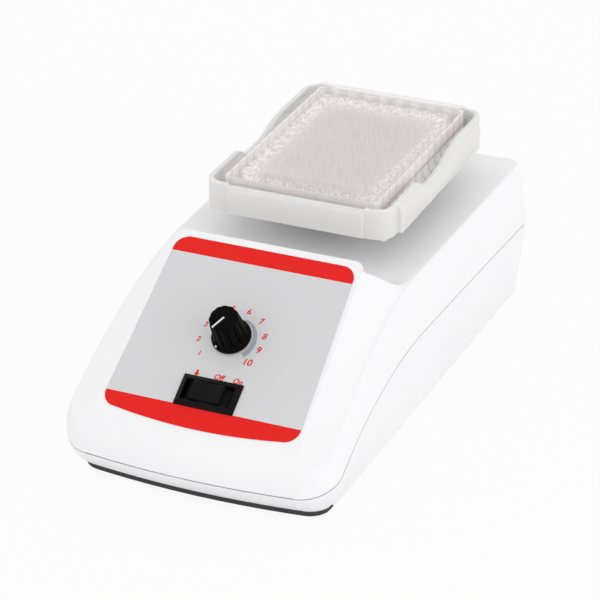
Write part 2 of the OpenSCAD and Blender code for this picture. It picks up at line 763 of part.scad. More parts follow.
module idler_bushes() {
  color([0.8, 0.65, 0.35]) at_drive() for (s = [-1, 1])
    translate([s * idler_x, 0, carriage_top + bush_lip - journal_bush_h]) difference() {
      union() {
        cylinder(d = journal_bush_d, h = journal_bush_h);
        translate([0, 0, journal_bush_h - bush_lip]) cylinder(d = bush_lip_d, h = bush_lip);
      }
      translate([0, 0, -1]) cylinder(d = pin_d + 2 * run, h = journal_bush_h + 2);
    }
}
crank_gap = 0.4;
crank_z = carriage_top + bush_lip + crank_gap;
crank_t = 5;
crank_disc_d = 18;
bush_z = orbit_plate_z - bush_lip;
module idler_crank(s) {
  color(steel) at_drive() translate([s * idler_x, 0, 0]) {
    translate([0, 0, carriage_top - journal_bush_h - 1.4])
      cylinder(d = pin_d, h = crank_z - carriage_top + journal_bush_h + 1.5);
    translate([orbit_r / 2, 0, crank_z]) cylinder(d = crank_disc_d, h = crank_t);
    crank_pin(crank_z + crank_t - 0.01, bush_z + orbit_plate_t + 2);
  }
}
module idler_crank_left() { idler_crank(-1); }
module idler_crank_right() { idler_crank(1); }
module pin_bushes() {
  color([0.8, 0.65, 0.35]) at_platform() for (s = [-1, 1])
    translate([s * idler_x, 0, bush_z]) difference() {
      union() {
        cylinder(d = bush_lip_d, h = bush_lip);
        cylinder(d = journal_bush_d, h = orbit_plate_t + bush_lip);
      }
      translate([0, 0, -1]) cylinder(d = pin_d + 2 * run, h = orbit_plate_t + 3);
    }
}
module hub_bearing() {
  color(steel) at_platform() translate([0, 0, bearing_z]) difference() {
    cylinder(d = bearing_d, h = bearing_h);
    translate([0, 0, -1]) cylinder(d = pin_d + 2 * run, h = bearing_h + 2);
    for (z = [-0.01, bearing_h - 0.5]) translate([0, 0, z]) difference() {
      cylinder(d = bearing_d - 4, h = 0.51);
      cylinder(d = pin_d + 4, h = 0.51);
    }
  }
}
module orbit_plate() {
  color([0.8, 0.81, 0.83]) at_platform() difference() {
    union() {
      translate([0, 0, orbit_plate_z]) {
        for (s = [-1, 1]) translate([s * idler_x, 0, 0]) cylinder(d = eye_d, h = orbit_plate_t);
        translate([-idler_x, -arm_w / 2, 0]) cube([2 * idler_x, arm_w, orbit_plate_t]);
      }
      translate([0, 0, orbit_plate_z]) cylinder(d = seat_d, h = bearing_h + 1);
    }
    translate([0, 0, bearing_z]) cylinder(d = bearing_d, h = bearing_h + 1);
    cylinder(d = bearing_d - 3, h = through);
    for (s = [-1, 1]) translate([s * idler_x, 0, 0]) cylinder(d = journal_bush_d, h = through);
  }
}
lid_t = 1.2;
lid_rib = 0.75;
plate_z = lid_top_z - lid_t - lid_rib - plate_h;
tray_floor = 2.6;
tray_z = plate_z - tray_floor;
column_z = bearing_z + bearing_h;
column_d = 30;
flange_d = 63;
flange_t = 3;
skirt_gap = 1.6;
skirt_drop = tray_z - flange_t - collar_top - touch_travel - skirt_gap;
tray_screw_xy = 20;
module platform_column() {
  color([0.35, 0.36, 0.38]) at_platform() difference() {
    union() {
      translate([0, 0, column_z]) cylinder(d = column_d, h = tray_z - column_z);
      translate([0, 0, tray_z - flange_t]) cylinder(d = flange_d, h = flange_t);
      translate([0, 0, tray_z - flange_t - skirt_drop]) difference() {
        cylinder(d = flange_d, h = skirt_drop + 1);
        translate([0, 0, -1]) cylinder(d = flange_d - 4, h = skirt_drop + 3);
      }
    }
    translate([0, 0, column_z - 1]) cylinder(d = bearing_d - 5, h = pin_top - column_z + 3);
    corners4(tray_screw_xy, tray_screw_xy) translate([0, 0, tray_z - flange_t - 1])
      cylinder(d = 3, h = flange_t + 2);
  }
}
module bearing_clip() {
  color(steel) at_platform() translate([0, 0, bearing_z + bearing_h + 0.3]) difference() {
    cylinder(d = pin_d + 3.6, h = clip_h);
    translate([0, 0, -1]) cylinder(d = pin_d, h = clip_h + 2);
    translate([0, -1.2, -1]) cube([pin_d, 2.4, clip_h + 2]);
  }
}

// ---- tray, microplate and lid ----------------------------------------------------
tray_w = plate_w + 2 * (plate_gap_x + tray_wall);
tray_l = plate_l + 2 * (plate_gap_y + tray_wall);
tray_r = 9;
band_half = 36.5;
band_proud = 0.8;
side_band_half = 55;
band_chamfer = 3;
// The long walls dip beside the finger cut-outs
cut_front = -28;
cut_back = -4;
cut_rise = 34;
function wall_dip(y) = let (a = ease((y - cut_front) / 5), b = ease((y - cut_back) / cut_rise))
  a * (1 - b);
module cut_profile() {
  top = tray_h + 1;
  polygon(concat([[cut_front, top]],
    [for (k = [0:4]) let (y = cut_front + k * 1.25)
      [y, mix(tray_h, tray_low, wall_dip(y))]],
    [for (k = [0:10]) let (y = cut_back + k * cut_rise / 10)
      [y, mix(tray_h, tray_low, wall_dip(y))]],
    [[cut_back + cut_rise, top]]));
}
// Band along a long side, with a chamfer that follows the top of the wall
band_stations = concat([-side_band_half], [for (k = [0:4]) cut_front + k * 1.25],
  [for (k = [0:10]) cut_back + k * cut_rise / 10], [side_band_half]);
module side_band() {
  x = tray_w / 2;
  loft([for (y = band_stations)
    let (top = mix(tray_h, tray_low, wall_dip(y)) - 0.6)
      [[x - 1, y, 0], [x - 1, y, top], [x, y, top],
        [x + side_band_proud, y, top - band_chamfer], [x + side_band_proud, y, 0]]]);
}
module tray() {
  color([0.86, 0.87, 0.86]) at_platform() translate([0, 0, tray_z]) difference() {
    union() {
      rounded_box(tray_w, tray_l, tray_h, tray_r);
      translate([-band_half, -tray_l / 2 - band_proud, 0])
        cube([2 * band_half, tray_l + 2 * band_proud, tray_h - 1]);
      for (s = [0, 1]) mirror([s, 0, 0]) side_band();
    }
    translate([0, 0, tray_floor])
      rounded_box(tray_w - 2 * tray_wall, tray_l - 2 * tray_wall, tray_h, tray_r - tray_wall);
    for (s = [-1, 1]) translate([0, s * tray_l / 2, tray_h + 1])
      cube([2 * band_half, 9, 4], center = true);
    translate([-tray_w, 0, 0]) rotate([90, 0, 90]) linear_extrude(2 * tray_w) cut_profile();
    corners4(tray_screw_xy, tray_screw_xy) {
      translate([0, 0, -1]) cylinder(d = m3, h = tray_floor + 2);
      translate([0, 0, tray_floor - sink_t]) cylinder(d = sink_d, h = tray_floor);
    }
  }
}
sink_t = 1.6;
sink_d = 6;
module tray_screws() {
  color(steel) at_platform() corners4(tray_screw_xy, tray_screw_xy)
    translate([0, 0, tray_z + tray_floor - sink_t]) {
      translate([0, 0, -tray_floor + sink_t - flange_t])
        cylinder(d = m3, h = tray_floor - sink_t + flange_t);
      difference() {
        cylinder(d = sink_d, h = sink_t - slip);
        for (a = [0, 90]) translate([0, 0, sink_t]) rotate(a)
          cube([sink_d * 0.7, slot_w, 2 * slot_t], center = true);
      }
    }
}
module tray_nubs() {
  color(rubber) at_platform() corners4(tray_w / 2 - 5, tray_l / 2 - 5)
    translate([0, 0, tray_z - 1.4]) cylinder(d = 4, h = 1.4);
}
switch_x = -28;
switch_len = 20;
switch_t = 6.4;
lug_t = 1.2;
lever_l = 17;
lever_t = 0.5;
lever_pin_d = 2;
pivot_x = 2.5;
pivot_z = carriage_z - touch_travel - 2;
lever_tilt = asin((touch_travel + 1.45) / lever_l);
module touch_switch() {
  color([0.15, 0.15, 0.16]) at_drive(switch_x, post_y) difference() {
    union() {
      translate([0, -switch_t / 2, ballast_top])
        cube([switch_len, switch_t, pivot_z - 1.6 - ballast_top]);
      for (s = [-1, 1]) translate([0, s * (switch_t - lug_t) / 2 - lug_t / 2, ballast_top])
        cube([2 * pivot_x, lug_t, pivot_z + 1.5 - ballast_top]);
    }
    translate([pivot_x, 0, pivot_z]) rotate([90, 0, 0])
      cylinder(d = lever_pin_d + 2 * run, h = 2 * switch_t, center = true);
    for (x = [5, 15]) translate([x, 0, ballast_top + 4]) rotate([90, 0, 0])
      cylinder(d = 2.5, h = 2 * switch_t, center = true);
  }
}
module touch_lever() {
  color(steel) at_drive(switch_x + pivot_x, post_y) translate([0, 0, pivot_z]) {
    rotate([90, 0, 0]) cylinder(d = lever_pin_d, h = switch_t, center = true);
    rotate([0, -lever_tilt, 0]) translate([0, -1.8, -lever_t / 2])
      cube([lever_l, 3.6, lever_t]);
  }
}
flange_h = 2.5;
plate_step = 1.6;
skin_t = 1.1;
plate_r = 3.2;
cup_d = 8.2;
rim_h = 0.5;
module wells(d, z0, h) {
  for (i = [0:7], j = [0:11])
    translate([(i - 3.5) * well_pitch, (j - 5.5) * well_pitch, z0]) cylinder(d = d, h = h, $fn = 20);
}
module microplate() {
  in_w = plate_w - 2 * plate_step;
  in_l = plate_l - 2 * plate_step;
  deck = plate_h - rim_h;
  color([0.88, 0.91, 0.93, 0.5]) at_platform() translate([0, 0, plate_z]) difference() {
    union() {
      difference() {
        union() {
          rounded_box(plate_w, plate_l, flange_h, plate_r);
          rounded_box(in_w, in_l, plate_h, plate_r);
        }
        translate([0, 0, deck - skin_t - 20])
          rounded_box(in_w - 2 * skin_t, in_l - 2 * skin_t, 20, plate_r - skin_t);
      }
      wells(cup_d, deck - well_depth - skin_t, well_depth);
    }
    translate([0, 0, deck]) rounded_box(in_w - 2 * skin_t, in_l - 2 * skin_t, 2, plate_r - skin_t);
    wells(well_d, deck - well_depth, well_depth + 1);
  }
}
lid_w = plate_w - 0.5;
lid_l = plate_l - 0.5;
module plate_lid() {
  color([0.92, 0.95, 0.97, 0.4]) at_platform() translate([0, 0, lid_top_z - lid_h]) difference() {
    rounded_box(lid_w, lid_l, lid_h, plate_r);
    difference() {
      translate([0, 0, -1])
        rounded_box(lid_w - 2 * skin_t, lid_l - 2 * skin_t, lid_h - lid_t + 1, plate_r - skin_t);
      translate([0, 0, lid_h - lid_t - lid_rib]) difference() {
        rounded_box(lid_w, lid_l, 2, plate_r);
        translate([0, 0, -1]) rounded_box(lid_w - 8, lid_l - 8, 4, plate_r - skin_t);
      }
    }
  }
}

upper_housing();
lower_housing();
base_plate();
base_pad();
housing_screws();
control_overlay();
switch_frame();
rocker();
switch_terminals();
potentiometer();
pot_nut();
pot_shaft();
speed_knob();
knob_pointer();
control_board();
board_components();
board_screws();
power_inlet();
inlet_pins();
fuse_drawer();
fuse();
frame_posts();
isolators();
carriage_plate();
motor_can();
motor_endcap();
motor_magnets();
armature();
motor_shaft();
motor_bearing();
motor_screws();
eccentric_hub();
counterweight();
idler_bushes();
idler_crank_left();
idler_crank_right();
hub_bearing();
orbit_plate();
pin_bushes();
platform_column();
bearing_clip();
tray();
tray_screws();
tray_nubs();
touch_switch();
touch_lever();
microplate();
plate_lid();
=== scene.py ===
import math

import bmesh
import bpy
import numpy as np
from mathutils import Matrix, Vector


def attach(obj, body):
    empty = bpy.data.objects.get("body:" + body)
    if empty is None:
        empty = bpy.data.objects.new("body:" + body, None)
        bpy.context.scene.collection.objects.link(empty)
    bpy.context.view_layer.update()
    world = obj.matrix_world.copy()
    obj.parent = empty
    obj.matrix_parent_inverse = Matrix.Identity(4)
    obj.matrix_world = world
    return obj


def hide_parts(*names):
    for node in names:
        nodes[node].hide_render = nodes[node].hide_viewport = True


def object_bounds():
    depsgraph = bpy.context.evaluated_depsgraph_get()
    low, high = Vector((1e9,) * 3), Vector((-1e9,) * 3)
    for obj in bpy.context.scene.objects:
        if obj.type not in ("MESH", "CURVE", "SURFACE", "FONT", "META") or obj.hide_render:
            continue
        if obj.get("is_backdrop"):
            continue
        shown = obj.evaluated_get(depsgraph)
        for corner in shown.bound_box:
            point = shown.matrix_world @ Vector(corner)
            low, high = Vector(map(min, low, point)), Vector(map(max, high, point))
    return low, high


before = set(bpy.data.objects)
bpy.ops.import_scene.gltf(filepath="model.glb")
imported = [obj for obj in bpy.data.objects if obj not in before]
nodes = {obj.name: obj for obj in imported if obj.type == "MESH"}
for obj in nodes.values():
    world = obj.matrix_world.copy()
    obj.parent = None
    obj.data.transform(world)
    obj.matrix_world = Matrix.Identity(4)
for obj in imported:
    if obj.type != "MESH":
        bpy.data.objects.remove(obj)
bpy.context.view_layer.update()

# ---- base pad and ballast --------------------------------------
# A die-cut rubber sheet glued under the lower half keeps the mixer from walking, and a
# steel plate screwed inside it keeps the centre of mass low.


class Wire:
    """One output socket; arithmetic on it adds Math nodes to its tree."""

    def __init__(self, bench, socket):
        self.bench, self.socket = bench, socket

    def __add__(self, other):
        return self.bench.maths("ADD", self, other)

    __radd__ = __add__

    def __sub__(self, other):
        return self.bench.maths("SUBTRACT", self, other)

    def __rsub__(self, other):
        return self.bench.maths("SUBTRACT", other, self)

    def __mul__(self, other):
        return self.bench.maths("MULTIPLY", self, other)

    def __truediv__(self, other):
        return self.bench.maths("DIVIDE", self, other)

    def __gt__(self, other):
        return self.bench.maths("GREATER_THAN", self, other)


class Bench:
    """A node tree under construction."""

    def __init__(self, tree):
        self.tree = tree
        tree.nodes.clear()

    def add(self, kind, settings=None, sockets=None, out=0):
        node = self.tree.nodes.new(kind)
        for key, value in (settings or {}).items():
            setattr(node, key, value)
        for key, value in (sockets or {}).items():
            if isinstance(value, Wire):
                self.tree.links.new(value.socket, node.inputs[key])
            else:
                node.inputs[key].default_value = value
        return Wire(self, node.outputs[out]) if node.outputs else None

    def maths(self, operation, *values):
        return self.add("ShaderNodeMath", {"operation": operation}, dict(enumerate(values)))


def shade(rgb):
    return (*rgb, 1.0)


class Finish(Bench):
    """A surface finish: grain and blotches on the piece's own coordinates, metres."""

    def __init__(self, name):
        self.material = bpy.data.materials.new(name)
        self.material.use_nodes = True
        super().__init__(self.material.node_tree)
        self.place = self.add("ShaderNodeTexCoord", out="Object")

    def grain(self, size, detail=2.0, stretch=(1, 1, 1), rough=0.5):
        where = self.place
        if stretch != (1, 1, 1):
            where = self.add("ShaderNodeMapping", None, {"Vector": where, "Scale": stretch})
        return self.add("ShaderNodeTexNoise", None, {"Vector": where, "Scale": 1 / size,
                                                     "Detail": detail, "Roughness": rough})

    def blend(self, factor, a, b):
        return self.add("ShaderNodeMix", {"data_type": "RGBA"},
                        {"Factor": factor, 6: shade(a) if isinstance(a, tuple) else a,
                         7: shade(b) if isinstance(b, tuple) else b}, out=2)

    def bump(self, height, depth):
        return self.add("ShaderNodeBump", None, {"Height": height, "Distance": depth})

    def done(self, colour, rough, normal=None, metal=0.0, **fixed):
        sockets = {"Base Color": colour if isinstance(colour, Wire) else shade(colour),
                   "Roughness": rough, "Metallic": metal}
        if normal is not None:
            sockets["Normal"] = normal
        sockets.update({key.replace("_", " "): value for key, value in fixed.items()})
        surface = self.add("ShaderNodeBsdfPrincipled", None, sockets)
        self.add("ShaderNodeOutputMaterial", None, {"Surface": surface})
        return self.material


def grained(name, grain, low, high, rough, depth=None, metal=0.0, **fixed):
    """A finish in which one grain varies colour, roughness and height together."""
    finish = Finish(name)
    speck = finish.grain(*grain)
    return finish.done(finish.blend(speck, low, high), rough[0] + speck * rough[1],
                       finish.bump(speck, depth) if depth else None, metal, **fixed)


def dress(finish, *names):
    """Gives the surface to CAD pieces that are seen as they are."""
    for name in names:
        mesh = nodes[name].data
        mesh.materials.clear()
        mesh.materials.append(finish)


dress(grained("pad_rubber", (0.0012, 3.0), (0.030, 0.029, 0.030), (0.062, 0.059, 0.061),
              (0.78, 0.12), 0.00012), "base_pad")

zinc = Finish("zinc_plated_steel")
clouds = zinc.grain(0.010, 4.0)
brushed = zinc.grain(0.0008, 2.0, (0.08, 1, 1))
zinc_plate = zinc.done(zinc.blend(clouds, (0.50, 0.51, 0.53), (0.66, 0.66, 0.66)),
                       0.26 + clouds * 0.16, zinc.bump(brushed, 0.00002), 1.0)
dress(zinc_plate, "base_plate", "housing_screws", "board_screws", "frame_posts",
      "tray_screws", "motor_screws", "pot_nut")

# ---- lower housing ---------------------------------------------
# The lower tub is moulded in white ABS and drawn in towards its foot; its rim follows
# the S-shaped parting line. Four bosses take the screws that hold both halves together.
front_y, back_y, body_len = -141.0, 141.0, 282.0
nose_half, wall_lean, side_flare = 63.8, 0.141, 4.6
deck_edge_z, nose_edge_z, deck_fall, edge_crest_y = 73.2, 24.0, 0.4, -5.0
seam_front_z, seam_crest_z, seam_back_z, seam_crest_y = 16.0, 45.5, 41.4, -15.0
nose_bow, bow_reach, nose_corner, back_corner = 400.0, 60.0, 17.0, 9.0
foot_half, foot_flare, foot_front_in, foot_back_in, foot_corner = 64.5, 4.3, 11.0, 1.5, 9.0
wall, seam_gap, seam_droop, bottom_z = 2.6, 0.6, 1.3, 3.0
wall_draw, foot_edge, inset_half, nose_points, back_points = 1.47, 0.35, 72.0, 11, 9


def ease(t):
    t = np.clip(t, 0, 1)
    return t * t * (3 - 2 * t)


def mix(a, b, t):
    return a + (b - a) * t


def corner_in(d, r):
    """How far a corner of radius r draws a wall in at distance d from its end."""
    inside = np.clip(r - d, 0, r)
    return r - np.sqrt(r * r - inside * inside)


def bow(x, d):
    """The nose's curve in plan, which fades out over bow_reach."""
    return x * x / (2 * nose_bow) * (1 - ease(d / bow_reach))


def edge_z(y):
    rise = np.sin(np.radians(90) * (y - front_y) / (edge_crest_y - front_y))
    return np.where(y < edge_crest_y, nose_edge_z + (deck_edge_z - nose_edge_z) * rise,
                    deck_edge_z - deck_fall * (y - edge_crest_y) / (back_y - edge_crest_y))


def seam_z(y):
    t = np.clip(y - front_y, 0, None) / (seam_crest_y - front_y)
    rise = seam_front_z + (seam_crest_z - seam_front_z) * np.sin(np.radians(90) * t)
    u = np.clip((y - seam_crest_y) / (back_y - seam_crest_y), 0, 1)
    fall = (seam_crest_z - seam_back_z) * u ** seam_droop
    return np.where(y < seam_crest_y, rise, seam_crest_z - fall)


def wall_x(y, z):
    return (nose_half + side_flare * (y - front_y) / body_len + wall_lean * (deck_edge_z - z)
            - corner_in(y - front_y, nose_corner) - corner_in(back_y - y, back_corner))


def foot_x(y):
    return (foot_half + foot_flare * (y - front_y) / body_len
            - corner_in(y - front_y, foot_corner) - corner_in(back_y - y, back_corner))


def spread(reach, corner, count):
    """Distances in from an end, close together round a corner."""
    near = corner * (1 - np.cos(np.linspace(0, np.pi / 2, count)))
    return np.concatenate([near, np.linspace(corner, reach, 12)[1:]])


back_reach = 30.0
stations = np.concatenate([front_y + spread(bow_reach, nose_corner, 14),
                           np.linspace(front_y + bow_reach, back_y - back_reach, 60)[1:-1],
                           (back_y - spread(back_reach, back_corner, 9))[::-1]])


def rim_ring(f, inset, height):
    """The rim drawn in to the foot by f and moved inwards by inset."""
    x = mix(wall_x(stations, seam_z(stations)), foot_x(stations), f)
    y = stations + bow(x, stations - front_y)
    front_x = np.linspace(0, x[0], nose_points + 1)[:-1]
    half = np.concatenate([
        np.c_[front_x, front_y + bow(front_x, 0), np.full(nose_points, front_y)],
        np.c_[x, y, stations],
        np.c_[np.linspace(x[-1], 0, back_points + 1)[1:], np.full((back_points, 2), back_y)]])
    foot_y = mix(front_y + foot_front_in, back_y - foot_back_in,
                 (half[:, 1] - front_y) / body_len)
    out = np.c_[half[:, 0] * (1 - inset / inset_half),
                mix(half[:, 1], foot_y, f) * (1 - inset / back_y), height(half[:, 2])]
    return np.concatenate([out, (out * [-1, 1, 1])[-2:0:-1]])


def cast(name, points, faces):
    """A mesh object from points in millimetres."""
    mesh = bpy.data.meshes.new(name)
    mesh.from_pydata((np.asarray(points, float) / 1000).tolist(), [], faces)
    made = bpy.data.objects.new(name, mesh)
    bpy.context.scene.collection.objects.link(made)
    return made


def strip(rings, caps=True):
    """Points and faces of a skin over closed rings of equal length."""
    n = len(rings[0])
    faces = [(k * n + i, k * n + (i + 1) % n, (k + 1) * n + (i + 1) % n, (k + 1) * n + i)
             for k in range(len(rings) - 1) for i in range(n)]
    if caps:
        faces += [tuple(range(n))[::-1], tuple(range((len(rings) - 1) * n, len(rings) * n))]
    return np.concatenate(rings), faces


def outward(made):
    """Joins points that coincide and turns every face outwards."""
    shape = bmesh.new()
    shape.from_mesh(made.data)
    bmesh.ops.remove_doubles(shape, verts=shape.verts, dist=1e-7)
    bmesh.ops.recalc_face_normals(shape, faces=shape.faces)
    shape.to_mesh(made.data)
    shape.free()
    return made


def harden(made):
    """Turns the modifiers into plain mesh."""
    graph = bpy.context.evaluated_depsgraph_get()
    mesh = bpy.data.meshes.new_from_object(made.evaluated_get(graph))
    made.modifiers.clear()
    made.data = mesh
    return made


def carve(made, *tools):
    """Cuts the tools out of a piece and deletes them."""
    for tool in tools:
        cut = made.modifiers.new("cut", "BOOLEAN")
        cut.operation, cut.object, cut.solver = "DIFFERENCE", tool, "EXACT"
    harden(made)
    for tool in tools:
        bpy.data.objects.remove(tool)


def block(low, high):
    """A cutting block between two corners, in millimetres."""
    (x0, y0, z0), (x1, y1, z1) = low, high
    corner = [(x, y, z) for z in (z0, z1)
              for x, y in ((x0, y0), (x1, y0), (x1, y1), (x0, y1))]
    return cast("block", corner, [(3, 2, 1, 0), (4, 5, 6, 7), (0, 1, 5, 4), (1, 2, 6, 5),
                                  (2, 3, 7, 6), (3, 0, 4, 7)])


def settle(made, finish, body, material_slot, *stands_for, sharp=35):
    """Gives a finished piece its surface and its place on a body."""
    made.data.materials.clear()
    made.data.materials.append(finish)
    made.data.shade_smooth()
    made.data.set_sharp_from_angle(angle=math.radians(sharp))
    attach(made, body)
    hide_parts(*stands_for)


abs_white = Finish("white_abs")
sparks = abs_white.grain(0.0007, 3.0)
tone = abs_white.grain(0.09, 2.0)
moulded_white = abs_white.done(
    abs_white.blend(tone, (0.895, 0.886, 0.900), (0.925, 0.918, 0.930)),
    0.42 + sparks * 0.10, abs_white.bump(sparks, 0.000012), Specular_IOR_Level=0.45)

heights = np.linspace(0, 1, 12)
outer = [rim_ring((1 - t) ** wall_draw, 0, lambda y, t=t: mix(bottom_z, seam_z(y) - seam_gap, t))
         for t in heights[1:]]
inner = [rim_ring((1 - t) ** wall_draw, wall,
                  lambda y, t=t: mix(bottom_z + wall, seam_z(y) - seam_gap, t)) for t in heights]
pad_clear, pad_cover, skirt_start, skirt_run = 0.9, 2.7, 9.0, 7.0


def skirt_z(y):
    """The wall runs down past the pad at the sides; the pad shows along the nose."""
    return bottom_z - pad_cover * ease((y - front_y - skirt_start) / skirt_run)


foot = [rim_ring(1, pad_clear, lambda y: bottom_z + 0 * y), rim_ring(1, pad_clear, skirt_z),
        rim_ring(1, foot_edge, skirt_z)]
tub = outward(cast("lower_shell", *strip(foot + outer + inner[::-1])))
inlet_z, inlet_half_w, inlet_half_h, inlet_cut = 24.0, 13.75, 10.0, 15.0
carve(tub, block((-inlet_half_w, back_y - inlet_cut, inlet_z - inlet_half_h),
                 (inlet_half_w, back_y + inlet_cut, inlet_z + inlet_half_h)))
settle(tub, moulded_white, "housing", "shell", "lower_housing")

# ---- power inlet and fuse drawer -------------------------------
# A moulded black inlet snaps into the back wall; its three flat pins are plated steel,
# and a small drawer under the socket holds one fuse.
black_nylon = grained("black_nylon", (0.0009, 3.0), (0.003, 0.003, 0.0035),
                      (0.008, 0.008, 0.009), (0.40, 0.14), 0.00003, Specular_IOR_Level=0.08)
dress(black_nylon, "power_inlet", "fuse_drawer", "motor_endcap", "touch_switch")
dress(grained("nickel_plate", (0.003, 3.0), (0.60, 0.59, 0.56), (0.70, 0.69, 0.66),
              (0.18, 0.14), 0.000008, 1.0), "inlet_pins", "fuse", "touch_lever")

# ---- frame posts, isolators and carriage -----------------------
# Turned steel posts stand on the ballast; rubber isolators on them carry an aluminium
# carriage plate, which dips when the tray is pressed.
dress(grained("isolator_rubber", (0.004, 4.0), (0.016, 0.016, 0.017), (0.034, 0.033, 0.032),
              (0.62, 0.2), 0.00006), "isolators")
dress(grained("milled_aluminium", (0.0006, 2.0, (1, 0.05, 1)), (0.66, 0.67, 0.68),
              (0.76, 0.76, 0.77), (0.30, 0.14), 0.000015, 1.0), "carriage_plate", "orbit_plate")

# ---- motor -----------------------------------------------------
# A deep-drawn steel can with two ferrite arcs inside; the armature is a stack of
# laminations with varnished copper windings on a ground shaft.
dress(grained("drawn_steel", (0.002, 3.0, (1, 1, 0.08)), (0.46, 0.47, 0.48), (0.58, 0.58, 0.58),
              (0.30, 0.18), 0.00002, 1.0), "motor_can")
dress(grained("ferrite", (0.0015, 4.0), (0.045, 0.045, 0.048), (0.085, 0.083, 0.082),
              (0.66, 0.12), 0.00004), "motor_magnets")

copper = Finish("enamelled_copper")
turns = copper.add("ShaderNodeTexWave", {"bands_direction": "Z"},
                   {"Vector": copper.place, "Scale": 420.0, "Distortion": 1.2, "Detail": 1.0})
dress(copper.done(copper.blend(turns, (0.30, 0.10, 0.04), (0.66, 0.27, 0.12)),
                  0.28 + turns * 0.14, copper.bump(turns, 0.00012), 0.6), "armature")

dress(grained("ground_steel", (0.0005, 2.0, (0.1, 0.1, 1)), (0.60, 0.61, 0.62),
              (0.72, 0.72, 0.73), (0.14, 0.12), 0.00001, 1.0),
      "motor_shaft", "pot_shaft", "eccentric_hub", "idler_crank_left", "idler_crank_right",
      "hub_bearing", "bearing_clip")

# ---- bushes and counterweight ----------------------------------
# Sintered bronze bushes guide the cranks, and a brass segment on the hub balances the
# mass of the tray.
dress(grained("sintered_bronze", (0.0018, 4.0), (0.50, 0.35, 0.16), (0.68, 0.52, 0.27),
              (0.30, 0.22), 0.00003, 1.0),
      "idler_bushes", "pin_bushes", "motor_bearing", "counterweight", "switch_terminals")

# ---- control board ---------------------------------------------
# A board of glass-filled epoxy with a green solder mask stands on spacers, held by small
# screws. It carries the triac, capacitors and terminals, and the potentiometer is wired to it.
epoxy = Finish("solder_mask")
tracks = epoxy.add("ShaderNodeTexVoronoi", {"feature": "DISTANCE_TO_EDGE"},
                   {"Vector": epoxy.place, "Scale": 260.0})
mask = epoxy.blend((tracks > 0.06) * 0.8, (0.035, 0.20, 0.09), (0.012, 0.105, 0.045))
dress(epoxy.done(mask, 0.30 + tracks * 0.2, epoxy.bump(tracks, 0.00003)), "control_board")
dress(grained("component_resin", (0.002, 3.0), (0.018, 0.018, 0.020), (0.042, 0.041, 0.044),
              (0.48, 0.16), 0.00003), "board_components", "potentiometer")

# ---- upper housing ---------------------------------------------
# One thin white ABS moulding carries the deck, the sloping panel pillow and the nose;
# a round collar on the deck keeps spills out of the drive.
panel_tilt = math.radians(32.4)
panel_top_y, panel_top_z = -43.3, 90.8
overlay_len, overlay_top_w, overlay_low_w, rim_w = 101.8, 95.5, 101.6, 3.0
knob_v, switch_v = 50.0, 82.4
edge_round, nose_round, back_round, fine_run, ramp_past = 2.0, 4.0, 3.0, 22.0, 14.0
flank_hollow, crest_share, flank_cut, rim_corner, rim_side = 1.2, 0.10, -1.3, 4.5, 2.0
flank_least, side_belly, roof_share, seam_lift = 6.0, 2.0, 0.2, 0.02
ramp_y, ramp_len, nose_fade = panel_top_y + rim_w, 10.0, 6.0
overlay_run = overlay_len * math.cos(panel_tilt)
axis_r = 1e-4


def overlay_half(y):
    return mix(overlay_top_w, overlay_low_w, (panel_top_y - y) / overlay_run) / 2


def top_z(x, y, edge_x):
    """Height of the deck, the panel pillow and its flanks."""
    base = edge_z(y) + edge_round
    rim_x = overlay_half(y) + rim_side
    low = panel_top_y - overlay_run - rim_w
    pull = corner_in(rim_x - abs(x), rim_corner) + flank_cut * np.maximum(abs(x) - rim_x, 0)
    back = 1 - ease((y + pull - ramp_y) / ramp_len)
    front = 1 - ease((low - (y - x * x / (2 * nose_bow))) / nose_fade)
    out = np.clip((abs(x) - rim_x) / np.maximum(1, edge_x - edge_round - rim_x), 0, 1)
    side = 1 - (1 - (1 - out) ** flank_hollow) * ease(out / crest_share)
    plane = panel_top_z + (y - panel_top_y) * math.tan(panel_tilt)
    return base + (plane - base) * back * front * side


def quarter(d, r):
    """Share of full height at distance d from an end rounded with radius r."""
    return math.sqrt(max(0.0, 1 - (1 - min(max(d, 0), r) / r) ** 2))


def shell_row(y0, t):
    """Cross-section of the shell from parting line to parting line, inset by t."""
    d = y0 - front_y - t
    tail = t + back_round * (1 - quarter(back_y - t - y0, back_round))
    rise = quarter(d, nose_round) if d < nose_round else 1
    edge_x = wall_x(y0, edge_z(y0)) - t
    seam = seam_z(y0)
    rim_x = min(overlay_half(y0) + rim_side, edge_x - flank_least)
    x = np.concatenate([np.linspace(0, rim_x - rim_corner, 12)[:-1],
                        np.linspace(rim_x - rim_corner, rim_x, 16)[:-1],
                        mix(rim_x, edge_x - edge_round, np.linspace(0, 1, 25) ** 1.5)])
    y = y0 + bow(x, y0 - front_y)
    z = mix(seam + seam_lift, top_z(x, y, edge_x) - t * roof_share - tail, rise)
    turn = np.radians([15, 30, 45, 60, 75, 90])
    round_x = edge_x - edge_round * (1 - np.sin(turn))
    round_z = mix(seam + seam_lift, edge_z(y0) - tail + edge_round * np.cos(turn), rise)
    f = np.linspace(0, 1, 9)[1:]
    side_x = mix(edge_x, wall_x(y0, seam) - t, f) + side_belly * rise * f * (1 - f)
    side_z = mix(round_z[-1], seam, f)
    side_y = np.full(len(round_x) + len(side_x), y0 + float(bow(edge_x, y0 - front_y)))
    half = np.c_[np.concatenate([x, round_x, side_x]), np.concatenate([y, side_y]),
                 np.concatenate([z, round_z, side_z])]
    return np.concatenate([(half * [-1, 1, 1])[:0:-1], half])


